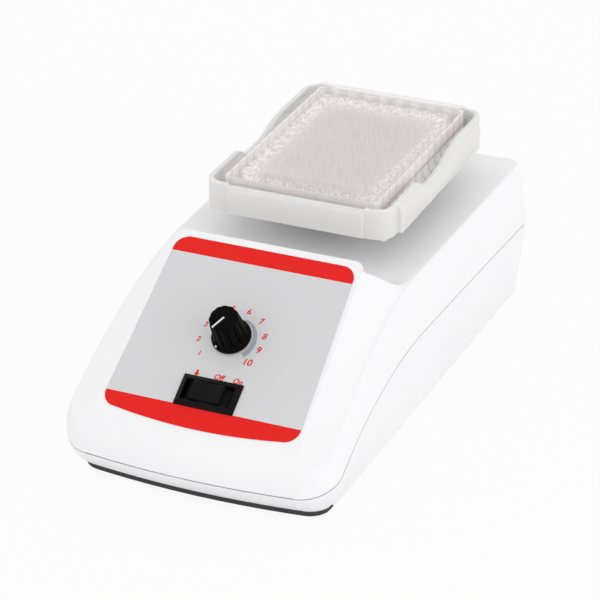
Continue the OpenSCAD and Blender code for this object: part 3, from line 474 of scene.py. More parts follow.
def shell_grid(t):
    """Rows from nose to back, inset by t, close together at the nose, the ramp and the back."""
    nose_end, ramp_from = front_y + t + fine_run, ramp_y - fine_run
    ramp_to, back_from = ramp_y + ramp_past, back_y - t - back_corner
    places = np.concatenate([
        front_y + t + nose_round * (1 - np.cos(np.linspace(0, np.pi / 2, 8))),
        front_y + t + np.linspace(nose_round, fine_run, 14)[1:],
        np.linspace(nose_end, ramp_from, 38)[1:], np.linspace(ramp_from, ramp_to, 40)[1:],
        np.linspace(ramp_to, back_from, 30)[1:],
        back_y - t - back_corner * (1 - np.sin(np.linspace(0, np.pi / 2, 16)[1:]))])
    rows = [shell_row(y, t) for y in places]
    last, seam = rows[-1].copy(), seam_z(back_y - t)
    for drop in np.linspace(1, 0, 12)[1:]:
        row = last.copy()
        row[:, 2] = seam + (last[:, 2] - seam) * drop
        rows.append(row)
    return rows


def weave(outer_rows, inner_rows):
    """Closed shell from two open grids of equal size."""
    r, c = len(outer_rows), len(outer_rows[0])
    points = np.concatenate(outer_rows + inner_rows)
    faces = [(k * c + i, k * c + i + 1, (k + 1) * c + i + 1, (k + 1) * c + i)
             for k in range(r - 1) for i in range(c - 1)]
    faces += [tuple(r * c + v for v in f[::-1]) for f in list(faces)]
    rim = list(range(c)) + [k * c + c - 1 for k in range(1, r)]
    rim += [(r - 1) * c + i for i in range(c - 2, -1, -1)] + [k * c for k in range(r - 2, 0, -1)]
    faces += [(a, r * c + a, r * c + b, b) for a, b in zip(rim, rim[1:] + rim[:1])]
    return points, faces


def on_panel(x, v, h):
    """Point above the panel: x across, v down the slope from the overlay's top edge."""
    return (x, panel_top_y - v * math.cos(panel_tilt) - h * math.sin(panel_tilt),
            panel_top_z - v * math.sin(panel_tilt) + h * math.cos(panel_tilt))


def panel_frame(v, h=0.0):
    """Matrix, in metres, that sets a shape drawn flat on the panel."""
    lean = Matrix.Rotation(panel_tilt, 4, "X")
    return Matrix.Translation(Vector(on_panel(0, v, h)) / 1000) @ lean


def circle(r, count, centre=(0, 0)):
    turn = np.arange(count) * 2 * np.pi / count
    return np.c_[centre[0] + r * np.cos(turn), centre[1] + r * np.sin(turn)]


def lathe(name, profile, count, centre=(0, 0)):
    """Closed solid of revolution from a loop of (radius, height)."""
    rings = [np.c_[circle(max(r, axis_r), count, centre), np.full(count, h)] for r, h in profile]
    return outward(cast(name, *strip(rings + rings[:1], caps=False)))


def plug(name, r, low, high, count, centre=(0, 0)):
    """A round cutting tool."""
    return lathe(name, [(0, low), (r, low), (r, high), (0, high)], count, centre)


upper = outward(cast("upper_shell", *weave(shell_grid(0), shell_grid(wall))))
drive_y, deck_hole_r, bush_r, slot_w, slot_h, reach = 54.0, 22.0, 3.5, 28.0, 12.4, 15.0
bore = plug("bore", deck_hole_r, 60, 100, 96, (0, drive_y))
bush_hole = plug("bush_hole", bush_r, -reach, reach, 48)
bush_hole.data.transform(panel_frame(knob_v))
switch_hole = block((-slot_w / 2, -slot_h / 2, -reach), (slot_w / 2, slot_h / 2, reach))
switch_hole.data.transform(panel_frame(switch_v))
carve(upper, bore, bush_hole, switch_hole)
settle(upper, moulded_white, "housing", "shell", "upper_housing")

collar = lathe("deck_collar", [
    (deck_hole_r, 71.7), (24.6, 71.7), (24.6, 74.9), (24.1, 75.6), (24.0, 76.3), (24.0, 77.2),
    (23.85, 77.55), (23.5, 77.7), (22.5, 77.7), (22.15, 77.55), (deck_hole_r, 77.2)],
    128, (0, drive_y))
settle(collar, moulded_white, "housing", "shell", "upper_housing")

# ---- printed overlay -------------------------------------------
# A grey polyester film is bonded into the panel. Red bands, the wedge round the dial
# and the legends are screen printed on it.
film_low, film_top, ink_mid, disc_top = 0.02, 0.34, 0.36, 0.37
band_top, wedge_top, arrow_top = 0.38, 0.39, 0.40
band_in, high_band_v, low_band_v = 0.05, 9.0, 90.4


def flat_piece(name, outline, h0, h1, holes=()):
    """A sheet between heights h0 and h1 over the panel, from an (x, v) outline."""
    sketch = bpy.data.curves.new(name, "CURVE")
    sketch.dimensions, sketch.fill_mode = "2D", "BOTH"
    for loop in (outline, *holes):
        line = sketch.splines.new("POLY")
        line.points.add(len(loop) - 1)
        spots = np.c_[np.asarray(loop) * [0.001, -0.001], np.zeros(len(loop)),
                      np.ones(len(loop))]
        line.points.foreach_set("co", spots.ravel())
        line.use_cyclic_u = True
    sketch.extrude = (h1 - h0) / 2000
    return flatten(name, sketch, panel_frame(0, (h0 + h1) / 2))


def flatten(name, curve, place):
    """A mesh from a curve or a text."""
    holder = bpy.data.objects.new(name, curve)
    bpy.context.scene.collection.objects.link(holder)
    graph = bpy.context.evaluated_depsgraph_get()
    mesh = bpy.data.meshes.new_from_object(holder.evaluated_get(graph))
    bpy.data.objects.remove(holder)
    made = bpy.data.objects.new(name, mesh)
    bpy.context.scene.collection.objects.link(made)
    mesh.transform(place)
    return outward(made)


overlay_r, overlay_sag = 7.5, 3.3
side_v = overlay_len - overlay_sag - overlay_r


def overlay_outline(inset=0.0, v0=0.0, v1=200.0):
    """Outline of the film between two lines across the panel."""
    hw, hl, r = overlay_top_w / 2, overlay_low_w / 2, overlay_r
    arc_r = ((hl - r) ** 2 + overlay_sag ** 2) / (2 * overlay_sag)
    turn = np.radians(np.linspace(0, 90, 13))

    def side(v):
        return mix(hw, hl, (v - r) / (side_v - r)), v

    edge = [(hw - r + r * math.sin(a), r - r * math.cos(a)) for a in turn]
    edge += [side(v) for v in np.linspace(r, side_v, 30)[1:]]
    edge += [(hl - r + r * math.cos(a), side_v + r * math.sin(a)) for a in turn[1:-1]]
    edge += [(x, overlay_len - arc_r + math.sqrt(arc_r ** 2 - x * x))
             for x in np.linspace(hl - r, 0, 20)]
    half = np.array(edge)
    half = half[(half[:, 1] >= v0) & (half[:, 1] <= v1)]
    if v0 > 0:
        half = np.concatenate([[side(v0)], half])
    if v1 < overlay_len:
        half = np.concatenate([half, [side(v1)]])
    half[:, 0] = np.maximum(half[:, 0] - inset, 0)
    mirror = half[::-1] * [-1, 1]
    return np.concatenate([half, mirror[mirror[:, 0] < -1e-6]])


def rectangle(w, h, v):
    return [(-w / 2, v - h / 2), (w / 2, v - h / 2), (w / 2, v + h / 2), (-w / 2, v + h / 2)]


def printed(made, finish):
    settle(made, finish, "housing", "overlay", "control_overlay")


film = Finish("grey_film")
velvet = film.grain(0.0005, 2.0)
drift = film.grain(0.06, 2.0)
film_grey = film.done(film.blend(drift, (0.640, 0.640, 0.650), (0.680, 0.680, 0.690)),
                      0.40 + velvet * 0.08, film.bump(velvet, 0.000006))
red_ink = grained("red_ink", (0.0006, 2.0), (0.80, 0.011, 0.007), (0.77, 0.009, 0.006),
                  (0.42, 0.08), 0.000005, Specular_IOR_Level=0.2)
slate_ink = grained("slate_ink", (0.0006, 2.0), (0.34, 0.37, 0.43), (0.38, 0.41, 0.47),
                    (0.4, 0.08))
pale_ink = grained("pale_ink", (0.0006, 2.0), (0.665, 0.665, 0.67), (0.70, 0.70, 0.705),
                   (0.38, 0.08))

holes = [circle(bush_r, 48, (0, knob_v)), rectangle(slot_w, slot_h, switch_v)]
printed(flat_piece("overlay_film", overlay_outline(), film_low, film_top, holes), film_grey)
for name, span in (("overlay_band_top", (0, high_band_v)), ("overlay_band_low", (low_band_v,))):
    printed(flat_piece(name, overlay_outline(band_in, *span), film_top, band_top), red_ink)

disc_r, wedge_wide_r, wedge_narrow_r, wedge_in_r = 12.9, 13.5, 11.6, 10.6
printed(flat_piece("dial_disc", circle(disc_r, 96, (0, knob_v)), film_top, disc_top,
                   [circle(bush_r + 0.1, 48, (0, knob_v))]), pale_ink)


def on_dial(r, turn):
    return r * math.cos(turn), knob_v - r * math.sin(turn)


sweep = np.radians(np.linspace(-44, 72, 40))
taper = mix(wedge_wide_r, wedge_narrow_r, (sweep - sweep[0]) / (sweep[-1] - sweep[0]))
wedge = [on_dial(r, a) for a, r in zip(sweep, taper)]
wedge += [on_dial(wedge_in_r, a) for a in sweep[::-1]]
printed(flat_piece("dial_wedge", wedge, ink_mid, wedge_top), slate_ink)


def legend(name, text, x, v, size, lean, bold):
    """Letters printed on the film, upright on the slope."""
    words = bpy.data.curves.new(name, "FONT")
    words.body, words.size, words.shear = text, size / 1000, lean
    words.align_x, words.align_y = "CENTER", "CENTER"
    words.extrude, words.offset = 0.00002, bold / 1000
    place = panel_frame(v, band_top) @ Matrix.Translation((x / 1000, 0, 0))
    printed(flatten(name, words, place), red_ink)


dial_r, dial_from, dial_step = 16.6, 225, 30
digit_size, digit_grow, digit_lean, digit_bold, bold_grow = 3.6, 0.14, 0.16, 0.07, 0.003
word_size, word_lean, word_bold = 3.9, 0.18, 0.10
nudge = ((-1.0, 0.1), (0, 0), (0.6, 0.2), (-0.4, 0.3), (-1.0, 0.8), (-1.0, 0.7), (-0.7, 0.35),
         (-0.5, 0.6), (-0.75, -0.3), (0.45, -0.2))
for k, (right, down) in enumerate(nudge):
    x, v = on_dial(dial_r, math.radians(dial_from - dial_step * k))
    legend(f"dial_{k + 1}", str(k + 1), x + right, v + down, digit_size + digit_grow * k,
           digit_lean, digit_bold + bold_grow * k)
legend("switch_off", "Off", 1.6, 72.4, word_size, word_lean, word_bold)
legend("switch_on", "On", 11.5, 72.7, word_size, word_lean, word_bold)
arrow = [(-10.5, 70.6), (-9.3, 70.6), (-9.3, 72.4), (-8.3, 72.4), (-9.9, 74.0), (-11.5, 72.4),
         (-10.5, 72.4)]
printed(flat_piece("momentary_arrow", arrow, ink_mid, arrow_top), red_ink)

# ---- rocker switch ---------------------------------------------
# A black nylon bezel with bevelled sides and a glossy well snaps into the panel. The
# rocker, of the same nylon, turns on a pin and is dished between two raised ends.
corner_points = 6


def squircle(w, h, r):
    """Rounded rectangle, counter-clockwise from the right side."""
    turn = np.linspace(0, np.pi / 2, corner_points)
    corner = np.c_[np.cos(turn), np.sin(turn)] * r
    loop = []
    for k, (sx, sy) in enumerate(((1, 1), (-1, 1), (-1, -1), (1, -1))):
        c, s = math.cos(k * math.pi / 2), math.sin(k * math.pi / 2)
        spun = corner @ np.array([[c, s], [-s, c]])
        loop.append(spun + [sx * (w / 2 - r), sy * (h / 2 - r)])
    return np.concatenate(loop)


def stack(name, layers, caps=True):
    """Solid over rounded rectangles given as (width, depth, radius, height)."""
    rings = [np.c_[squircle(w, h, r), np.full(4 * corner_points, z)] for w, h, r, z in layers]
    if not caps:
        rings.append(rings[0])
    return outward(cast(name, *strip(rings, caps)))


glossy_black = grained("glossy_black", (0.004, 2.0), (0.002, 0.002, 0.002),
                       (0.004, 0.004, 0.004), (0.18, 0.08), 0.00001, Specular_IOR_Level=0.08)
bezel = stack("switch_bezel", [
    (26.2, 12.0, 0.4, 2.4), (26.5, 12.3, 0.4, 2.3), (30.9, 16.7, 0.5, 0.9),
    (31.0, 16.8, 0.5, 0.75), (31.0, 16.8, 0.5, 0.4), (27.8, 12.2, 0.3, 0.4),
    (26.0, 11.6, 0.4, 0.42), (26.0, 11.6, 0.4, 2.38)], caps=False)
bezel.data.transform(panel_frame(switch_v))
settle(bezel, black_nylon, "housing", "black", "switch_frame")
well = stack("switch_well", [
    (26.0, 11.6, 0.4, 2.38), (26.0, 11.6, 0.4, 0.45), (27.8, 12.2, 0.3, 0.42),
    (27.8, 12.2, 0.3, -17), (25.2, 10.8, 0.4, -17), (25.2, 10.8, 0.4, 1.9),
    (25.4, 11.0, 0.4, 2.3)], caps=False)
well.data.transform(panel_frame(switch_v))
settle(well, glossy_black, "housing", "black", "switch_frame")

rocker_line = [(-11.7, 1.2), (-11.4, 1.6), (-9.6, 2.2), (-8.9, 2.7), (-8.5, 3.6), (-8.3, 4.6),
               (-8.0, 5.0), (-7.4, 5.2), (-6, 4.95), (-4, 4.5), (-2, 4.25), (0, 4.15), (2, 4.25),
               (4, 4.5), (6, 4.95), (6.9, 5.15), (7.3, 4.9), (7.6, 4.2), (7.9, 3.0), (8.3, 1.9),
               (9.2, 1.2), (11.4, 0.7), (11.7, 0.4), (11.8, 0.0), (3.66, -2.2), (-3.66, -2.2),
               (-11.8, 0.6)]
rocker_span, pad_base, pad_rise, rocker_sink = 26.0, 2.6, 2.0, 1.2
slices = []
for y, pull in ((-5.1, 1.0), (-4.95, 0.45), (-4.6, 0.12), (-4.1, 0), (4.1, 0), (4.6, 0.12),
                (4.95, 0.45), (5.1, 1.0)):
    slices.append(np.array([(x * (1 - pull / rocker_span), y,
                             z - pull * min(1, max(0, z - pad_base) / pad_rise))
                            for x, z in rocker_line]))
rocker = outward(cast("switch_rocker", *strip(slices)))
rocker.data.transform(panel_frame(switch_v, -rocker_sink))
settle(rocker, black_nylon, "rocker", "black", "rocker", sharp=50)

# ---- speed knob ------------------------------------------------
# A moulded phenolic knob with a smooth skirt, a scalloped grip, an enamelled line on its
# top and a mark on its skirt. A grub screw holds it on the potentiometer's shaft.
knob_gap, flutes, flute_shape, knob_points, pointer_angle = 1.0, 12, 0.75, 192, 150


def scallop(r, depth):
    turn = np.arange(knob_points) * 2 * np.pi / knob_points
    wave = np.abs(np.sin(turn * flutes / 2)) ** flute_shape
    out = r - depth * (1 - wave)
    return np.c_[out * np.cos(turn), out * np.sin(turn)]


knob_rings = []
for r, depth, z in ((9.3, 0, 0), (9.75, 0, 0.1), (9.9, 0, 0.4), (9.85, 0, 1.4), (9.6, 0, 2.1),
                    (9.0, 0, 2.6), (8.75, 0.2, 2.8), (8.55, 0.9, 3.3), (8.4, 1.2, 4.2),
                    (7.95, 1.15, 10.0), (7.5, 1.0, 15.6), (7.35, 0.7, 16.5), (7.0, 0.3, 17.15),
                    (6.6, 0.05, 17.45), (6.2, 0, 17.5)):
    knob_rings.append(np.c_[scallop(r, depth), np.full(knob_points, z)])
knob = outward(cast("knob_body", *strip(knob_rings)))
pointer_turn = Matrix.Rotation(math.radians(pointer_angle), 4, "Z")
line_cut = block((-0.5, -0.6, 17.05), (0.5, 7.4, 18.2))
line_cut.data.transform(pointer_turn)
carve(knob, line_cut)
knob.data.transform(panel_frame(knob_v, knob_gap))
phenolic = grained("phenolic_black", (0.0008, 3.0), (0.002, 0.002, 0.002),
                   (0.004, 0.004, 0.004), (0.30, 0.18), 0.00002, Specular_IOR_Level=0.03)
settle(knob, phenolic, "speed_knob", "grip", "speed_knob")
white_enamel = grained("white_enamel", (0.0006, 2.0), (0.74, 0.73, 0.72), (0.82, 0.81, 0.80),
                       (0.4, 0.1))
for name, low, high in (("pointer_line", (-0.47, -0.58, 17.06), (0.47, 7.0, 17.46)),
                        ("skirt_mark", (-0.5, 8.9, 2.0), (0.5, 9.7, 2.65))):
    piece = block(low, high)
    piece.name = name
    bevel = piece.modifiers.new("bevel", "BEVEL")
    bevel.width, bevel.segments = 0.00008, 2
    harden(piece)
    piece.data.transform(panel_frame(knob_v, knob_gap) @ pointer_turn)
    settle(piece, white_enamel, "speed_knob", "white", "knob_pointer")

# ---- platform column -------------------------------------------
# The column and its flange are one piece turned from aluminium and anodised dark grey.
# It stands on the orbit plate, passes through the deck and is screwed to the tray.
dress(grained("dark_anodised", (0.0005, 2.0, (0.1, 0.1, 1)), (0.06, 0.062, 0.066),
              (0.10, 0.10, 0.106), (0.38, 0.14), 0.00002, 0.5), "platform_column")

# ---- tray ------------------------------------------------------
# The plate tray is moulded in pale grey ABS and screwed to the column's flange. Its long
# walls dip for the fingers, a proud band runs along each side, and silicone nubs sit below.
orbit_x = 1.75
tray_w, tray_l, tray_z, tray_h, tray_low = 99.68, 135.76, 92.1, 15.8, 9.5
tray_wall, tray_floor, tray_r = 2.6, 2.6, 9.0
band_half, side_band_half, band_proud, side_band_proud, band_ease = 36.5, 55.0, 0.8, 2.5, 0.4
end_dip, dip_from, dip_in, dip_back, dip_out = 1.0, -31.0, 15.0, -4.0, 34.0
side_chamfer, end_chamfer, side_ledge, end_ledge = 3.0, 1.2, 0.6, 0.8


def wall_dip(y):
    return ease((y - dip_from) / dip_in) * (1 - ease((y - dip_back) / dip_out))


def wall_places(edge, stretches):
    """Places along one wall, with a pair at each end of its proud band."""
    runs = [np.linspace(a, b, count) for a, b, count in stretches]
    ends = [side * edge + step for side in (-1, 1) for step in (-band_ease, band_ease)]
    return np.unique(np.concatenate(runs + [ends]))


def tray_path(w, l, r):
    """Points round the tray, dense where the walls dip, and their outward normals."""
    low_from, low_to = dip_from + dip_in, dip_back + dip_out
    long_y = wall_places(side_band_half, (
        (-l / 2 + r, dip_from, 10), (dip_from, low_from, 18), (low_from, dip_back, 6),
        (dip_back, low_to, 30), (low_to, l / 2 - r, 12)))
    wide_x = wall_places(band_half, ((-w / 2 + r, w / 2 - r, 24),))
    loop, out = [], []
    for along, nx, ny in ((long_y, 1, 0), (wide_x[::-1], 0, 1), (long_y[::-1], -1, 0),
                          (wide_x, 0, -1)):
        for p in along:
            loop.append((nx * w / 2 if nx else p, ny * l / 2 if ny else p))
            out.append((nx, ny))
        for a in np.linspace(0, np.pi / 2, 12)[1:-1]:
            c = nx * math.cos(a) - ny * math.sin(a)
            s = nx * math.sin(a) + ny * math.cos(a)
            loop.append(((nx - ny) * (w / 2 - r) + r * c, (nx + ny) * (l / 2 - r) + r * s))
            out.append((c, s))
    return np.array(loop), np.array(out)


path, normal = tray_path(tray_w, tray_l, tray_r)
long_wall, end_wall = abs(normal[:, 0]) > 0.99, abs(normal[:, 1]) > 0.99
on_end = end_wall & (abs(path[:, 0]) < band_half)
on_side = long_wall & (abs(path[:, 1]) < side_band_half)
proud = np.where(on_end, band_proud, np.where(on_side, side_band_proud, 0.0))
wall_top = np.where(long_wall, mix(tray_h, tray_low, wall_dip(path[:, 1])), tray_h)
wall_top = np.where(on_end, tray_h - end_dip, wall_top)
chamfer = np.where(on_side, side_chamfer, end_chamfer)
proud_top = wall_top - np.where(on_side, side_ledge, end_ledge) - chamfer


def tray_ring(offset, height):
    spot = path + normal * np.reshape(offset, (-1, 1))
    return np.c_[spot, np.broadcast_to(height, len(path))]


def over_drive(made, z):
    """Lifts a piece to height z over the drive, where the tray stands at rest."""
    made.data.transform(Matrix.Translation((orbit_x / 1000, drive_y / 1000, z / 1000)))


lip, lip_round, foot_round, base_r = 0.5, 0.15, 0.25, 0.8
rings = [tray_ring(offset, height) for offset, height in (
    (-base_r, 0), (-foot_round + proud, 0.0), (proud, 0.45), (proud, proud_top - 0.5),
    (proud * 0.93, proud_top + 0.12 * chamfer), (proud * 0.12, proud_top + 0.93 * chamfer),
    (0, proud_top + chamfer), (0, wall_top - lip), (-lip_round, wall_top - lip_round),
    (-lip, wall_top), (-tray_wall + lip, wall_top), (-tray_wall + lip_round, wall_top - lip_round),
    (-tray_wall, wall_top - lip), (-tray_wall, tray_floor + base_r),
    (-tray_wall - foot_round, tray_floor + foot_round), (-tray_wall - base_r, tray_floor))]
tray = cast("plate_tray", *strip(rings))
over_drive(tray, tray_z)
outward(tray)
grey_abs = grained("grey_abs", (0.0007, 3.0), (0.725, 0.725, 0.715), (0.765, 0.765, 0.755),
                   (0.40, 0.1), 0.000012, Subsurface_Weight=0.6, Subsurface_Scale=0.004,
                   Subsurface_Radius=(1.0, 0.88, 0.78))
settle(tray, grey_abs, "platform", "tray", "tray", sharp=40)
dress(grained("translucent_silicone", (0.002, 2.0), (0.70, 0.70, 0.69), (0.78, 0.78, 0.77),
              (0.45, 0.1), 0.00001), "tray_nubs")

# ---- microplate ------------------------------------------------
# A 96-well plate injection moulded in clear polystyrene: a stepped skirt, a flat deck and
# round wells on a 9 mm pitch. Its many thin walls make it look milky. Its finish carries
# painted light: painted glints in the outer wells, well insides painted lighter against
# their shade, and a faint painted glow over the whole plate.
plate_w, plate_l, plate_h, plate_z = 85.48, 127.76, 14.35, 94.7
pitch, well_r, well_depth, skin, columns, rows = 9.0, 3.45, 10.8, 1.1, 8, 12


def plate_place(finish):
    """Distances across and along from the middle of the plate, in pitches, and the height."""
    axis = finish.add("ShaderNodeSeparateXYZ", None, {0: finish.place})
    x, y, z = (Wire(finish, output) for output in axis.socket.node.outputs)
    return ((x - orbit_x / 1000) / (pitch / 1000), (y - drive_y / 1000) / (pitch / 1000), z)


def past_wells(finish, across, along):
    """How far outside the block of wells a place is, in pitches; negative inside it."""
    return finish.maths("MAXIMUM", finish.maths("ABSOLUTE", across) - columns / 2,
                        finish.maths("ABSOLUTE", along) - rows / 2)


styrene = Finish("clear_polystyrene")
across, along, height = plate_place(styrene)
cell_x = styrene.maths("FRACT", across + 10) - 0.5
cell_y = styrene.maths("FRACT", along + 10) - 0.5
radius = styrene.maths("SQRT", cell_x * cell_x + cell_y * cell_y)
border = past_wells(styrene, across, along)
# Painted glints: speckled white highlights in the outer ring of wells, high on the plate, painted
# into the base colour and the glow.
glint_z = (plate_z + 9) / 1000
painted_glint_rows = (border > -1.0) * (1.0 - (border > 0.12)) * (height > glint_z)
inside = 1.0 - (radius > well_r / pitch)
swirl = styrene.grain(0.012, 2.0)
painted_glint_noise = styrene.grain(0.0014, 2.0, rough=0.6)
painted_glint = styrene.add("ShaderNodeMapRange", None,
                     {"Value": painted_glint_noise, "From Min": 0.40, "From Max": 0.56})
milky = styrene.blend(swirl, (0.88, 0.82, 0.80), (0.94, 0.89, 0.87))
# Painted light: the well insides are painted lighter than the deck, against the shade in them.
painted_lit_wells = styrene.blend(inside, milky, (1.0, 0.96, 0.945))
painted_glint_colour = styrene.blend(painted_glint, (0.58, 0.50, 0.48), (1.0, 1.0, 1.0))
# Painted glow: the plate gives off a faint light of its own, stronger in the wells and at the
# painted glints.
painted_glow_colour = styrene.blend(styrene.maths("MAXIMUM", inside * 0.6, painted_glint_rows * painted_glint),
                      (0.25, 0.235, 0.23), (1.0, 0.96, 0.945))
# The base colour carries the painted glints and the painted lit wells.
plate_clear = styrene.done(
    styrene.blend(painted_glint_rows * 0.9, painted_lit_wells, painted_glint_colour), 0.12 + swirl * 0.06,
    styrene.bump(swirl, 0.00003), Subsurface_Weight=0.85, Subsurface_Scale=0.02,
    Subsurface_Radius=(1.0, 0.9, 0.85), Emission_Color=painted_glow_colour, Emission_Strength=0.21)

in_w, in_l = plate_w - 3.2, plate_l - 3.2
deck = plate_h - 0.5
skirt = stack("plate_skirt", [
    (in_w - 2.2, in_l - 2.2, 2.1, 0.0), (plate_w - 0.5, plate_l - 0.5, 3.0, 0.0),
    (plate_w, plate_l, 3.2, 0.3), (plate_w, plate_l, 3.2, 2.2),
    (plate_w - 0.5, plate_l - 0.5, 3.0, 2.5), (in_w + 0.3, in_l + 0.3, 3.2, 2.55),
    (in_w, in_l, 3.2, 2.9), (in_w, in_l, 3.2, plate_h - 0.2),
    (in_w - 0.3, in_l - 0.3, 3.1, plate_h), (in_w - 1.9, in_l - 1.9, 2.2, plate_h),
    (in_w - 2.2, in_l - 2.2, 2.1, plate_h - 0.2), (in_w - 2.2, in_l - 2.2, 2.1, deck)],
    caps=False)
over_drive(skirt, plate_z)
settle(skirt, plate_clear, "microplate", "plate", "microplate")

facets = 24
turn = (np.arange(facets) + 0.5) * 2 * np.pi / facets
ray = np.c_[np.cos(turn), np.sin(turn)]
square = ray / np.maximum(abs(ray[:, :1]), abs(ray[:, 1:])) * pitch / 2


def cup_skin(name, *levels):
    """Skin over rings given as (outline, height), closed at the last one."""
    points, faces = strip([np.c_[loop, np.full(facets, z)] for loop, z in levels], caps=False)
    return cast(name, points, faces + [tuple(range(len(points) - facets, len(points)))])


class Layout(Bench):
    """A Geometry Nodes tree for pieces that repeat."""

    def __init__(self, name, **sizes):
        self.group = bpy.data.node_groups.new(name, "GeometryNodeTree")
        super().__init__(self.group)
        self.group.interface.new_socket("Geometry", in_out="OUTPUT",
                                        socket_type="NodeSocketGeometry")
        kinds = {float: "NodeSocketFloat", int: "NodeSocketInt",
                 bpy.types.Material: "NodeSocketMaterial"}
        self.sizes = {}
        for key, value in sizes.items():
            kind = kinds.get(type(value), "NodeSocketObject")
            made = self.group.interface.new_socket(key, in_out="INPUT", socket_type=kind)
            self.sizes[made.identifier] = value
        inputs = self.tree.nodes.new("NodeGroupInput")
        self.given = {key: Wire(self, inputs.outputs[k]) for k, key in enumerate(sizes)}

    def make(self, name, geometry):
        real = self.add("GeometryNodeRealizeInstances", None, {0: geometry})
        done = self.add("GeometryNodeSetMaterial", None,
                        {0: real, "Material": self.given["finish"]})
        self.add("NodeGroupOutput", None, {0: done})
        made = cast(name, [(0, 0, 0)], [])
        grown = made.modifiers.new("layout", "NODES")
        grown.node_group = self.group
        for identifier, value in self.sizes.items():
            grown[identifier] = value
        return harden(made)


tile = cup_skin("tile", (square, deck), (ray * (well_r + 0.75), deck),
                (ray * (well_r + 0.55), deck + 0.35), (ray * (well_r + 0.1), deck + 0.35),
                (ray * well_r, deck + 0.1), (ray * (well_r - 0.15), deck - well_depth + 0.4),
                (ray * (well_r - 0.6), deck - well_depth))
cup = cup_skin("cup", (ray * (well_r + 0.65), deck - skin),
               (ray * (well_r + 0.6), deck - well_depth - 0.7),
               (ray * (well_r + 0.1), deck - well_depth - skin))
joined = bmesh.new()
joined.from_mesh(tile.data)
joined.from_mesh(cup.data)
joined.to_mesh(tile.data)
joined.free()
bpy.data.objects.remove(cup)
tile.data.shade_smooth()
tile.data.set_sharp_from_angle(angle=math.radians(40))
wells = Layout("well_grid", columns=columns, rows=rows, pitch=pitch / 1000, tile=tile,
               finish=plate_clear)
span_x = (wells.given["columns"] - 1) * wells.given["pitch"]
span_y = (wells.given["rows"] - 1) * wells.given["pitch"]
lattice = wells.add("GeometryNodeMeshGrid", None, {"Size X": span_x, "Size Y": span_y,
                                                   "Vertices X": wells.given["columns"],
                                                   "Vertices Y": wells.given["rows"]})
shape = wells.add("GeometryNodeObjectInfo", None, {"Object": wells.given["tile"]},
                  out="Geometry")
grid = wells.make("plate_wells", wells.add("GeometryNodeInstanceOnPoints", None,
                                           {"Points": lattice, "Instance": shape}))
bpy.data.objects.remove(tile)
merged = bmesh.new()
merged.from_mesh(grid.data)
bmesh.ops.remove_doubles(merged, verts=merged.verts, dist=1e-6)
merged.to_mesh(grid.data)
merged.free()
over_drive(grid, plate_z)
settle(grid, plate_clear, "microplate", "plate", "microplate", sharp=40)

# ---- lid -------------------------------------------------------
# The lid is one thin moulding of clear polystyrene with turned-down sides. It drops loose
# over the plate, and a low rib under its top keeps it off the wells. A streaked haze over
# its middle is a painted reflection of the wells seen through it, its foot carries a
# painted dark edge line, and it turns more opaque where seen at a slant, a painted reflection.
lid_w, lid_l, lid_top, lid_h, lid_t = plate_w - 0.5, plate_l - 0.5, 111.0, 8.0, 1.2
painted_brim_h, rib_h = 0.45, 0.7
# Offsets and spread of the painted haze, and the turn of its painted streaks.
painted_haze_right, painted_haze_front, painted_haze_in, painted_haze_run, painted_streak_turn = 0.4, 1.0, -0.4, 0.9, -0.41

cover = Finish("clear_lid")
flow = cover.grain(0.02, 2.0)
across, along, height = plate_place(cover)
# Painted shade: the bottom of the lid's sides is painted dark and more opaque, as a dark edge
# line.
painted_dark_brim = 1.0 - (height > (lid_top - lid_h + painted_brim_h) / 1000)
# Painted reflection: the lid turns more opaque where it is seen at a slant.
painted_slant_sheen = cover.add("ShaderNodeLayerWeight", None, {"Blend": 0.25}, out="Facing")
# Painted reflection: a streaked, more opaque haze over the middle of the lid stands in for the
# wells seen through it.
border = past_wells(cover, across - painted_haze_right, along + painted_haze_front)
painted_haze_share = cover.maths("MAXIMUM", (painted_haze_in - border) / painted_haze_run, 0.0)
painted_haze_share = cover.maths("MINIMUM", painted_haze_share, 1.0)
turned = cover.add("ShaderNodeMapping", None,
                   {"Vector": cover.place, "Rotation": (0, 0, painted_streak_turn)})
slender = cover.add("ShaderNodeMapping", None, {"Vector": turned, "Scale": (1, 0.08, 0.08)})
painted_streaks = cover.add("ShaderNodeTexNoise", None,
                    {"Vector": slender, "Scale": 800, "Detail": 2.0, "Roughness": 0.5})
painted_haze_tint = cover.blend(painted_streaks, (0.66, 0.62, 0.61), (0.88, 0.845, 0.835))
# Colour and opacity mix the painted haze, the painted dark brim and the painted slant reflection.
lid_plastic = cover.done(
    cover.blend(painted_dark_brim, painted_haze_tint, (0.46, 0.40, 0.38)), 0.08 + flow * 0.05,
    cover.bump(flow, 0.00003), Alpha=0.17 + painted_haze_share * 0.43 + painted_slant_sheen * 0.12 + painted_dark_brim * 0.30)
rib_z = lid_h - lid_t - rib_h
lid = stack("lid_shell", [
    (lid_w - 7.6, lid_l - 7.6, 2.2, lid_h - 0.3), (lid_w - 7.0, lid_l - 7.0, 2.4, lid_h),
    (lid_w - 1.2, lid_l - 1.2, 2.8, lid_h), (lid_w - 0.5, lid_l - 0.5, 3.0, lid_h - 0.25),
    (lid_w, lid_l, 3.2, lid_h - 0.9), (lid_w, lid_l, 3.2, 0.0),
    (lid_w - 2.2, lid_l - 2.2, 2.1, 0.0), (lid_w - 2.2, lid_l - 2.2, 2.1, rib_z),
    (lid_w - 8.0, lid_l - 8.0, 2.1, rib_z), (lid_w - 8.0, lid_l - 8.0, 2.1, lid_h - lid_t)])
over_drive(lid, lid_top - lid_h)
settle(lid, lid_plastic, "plate_lid", "lid", "plate_lid")

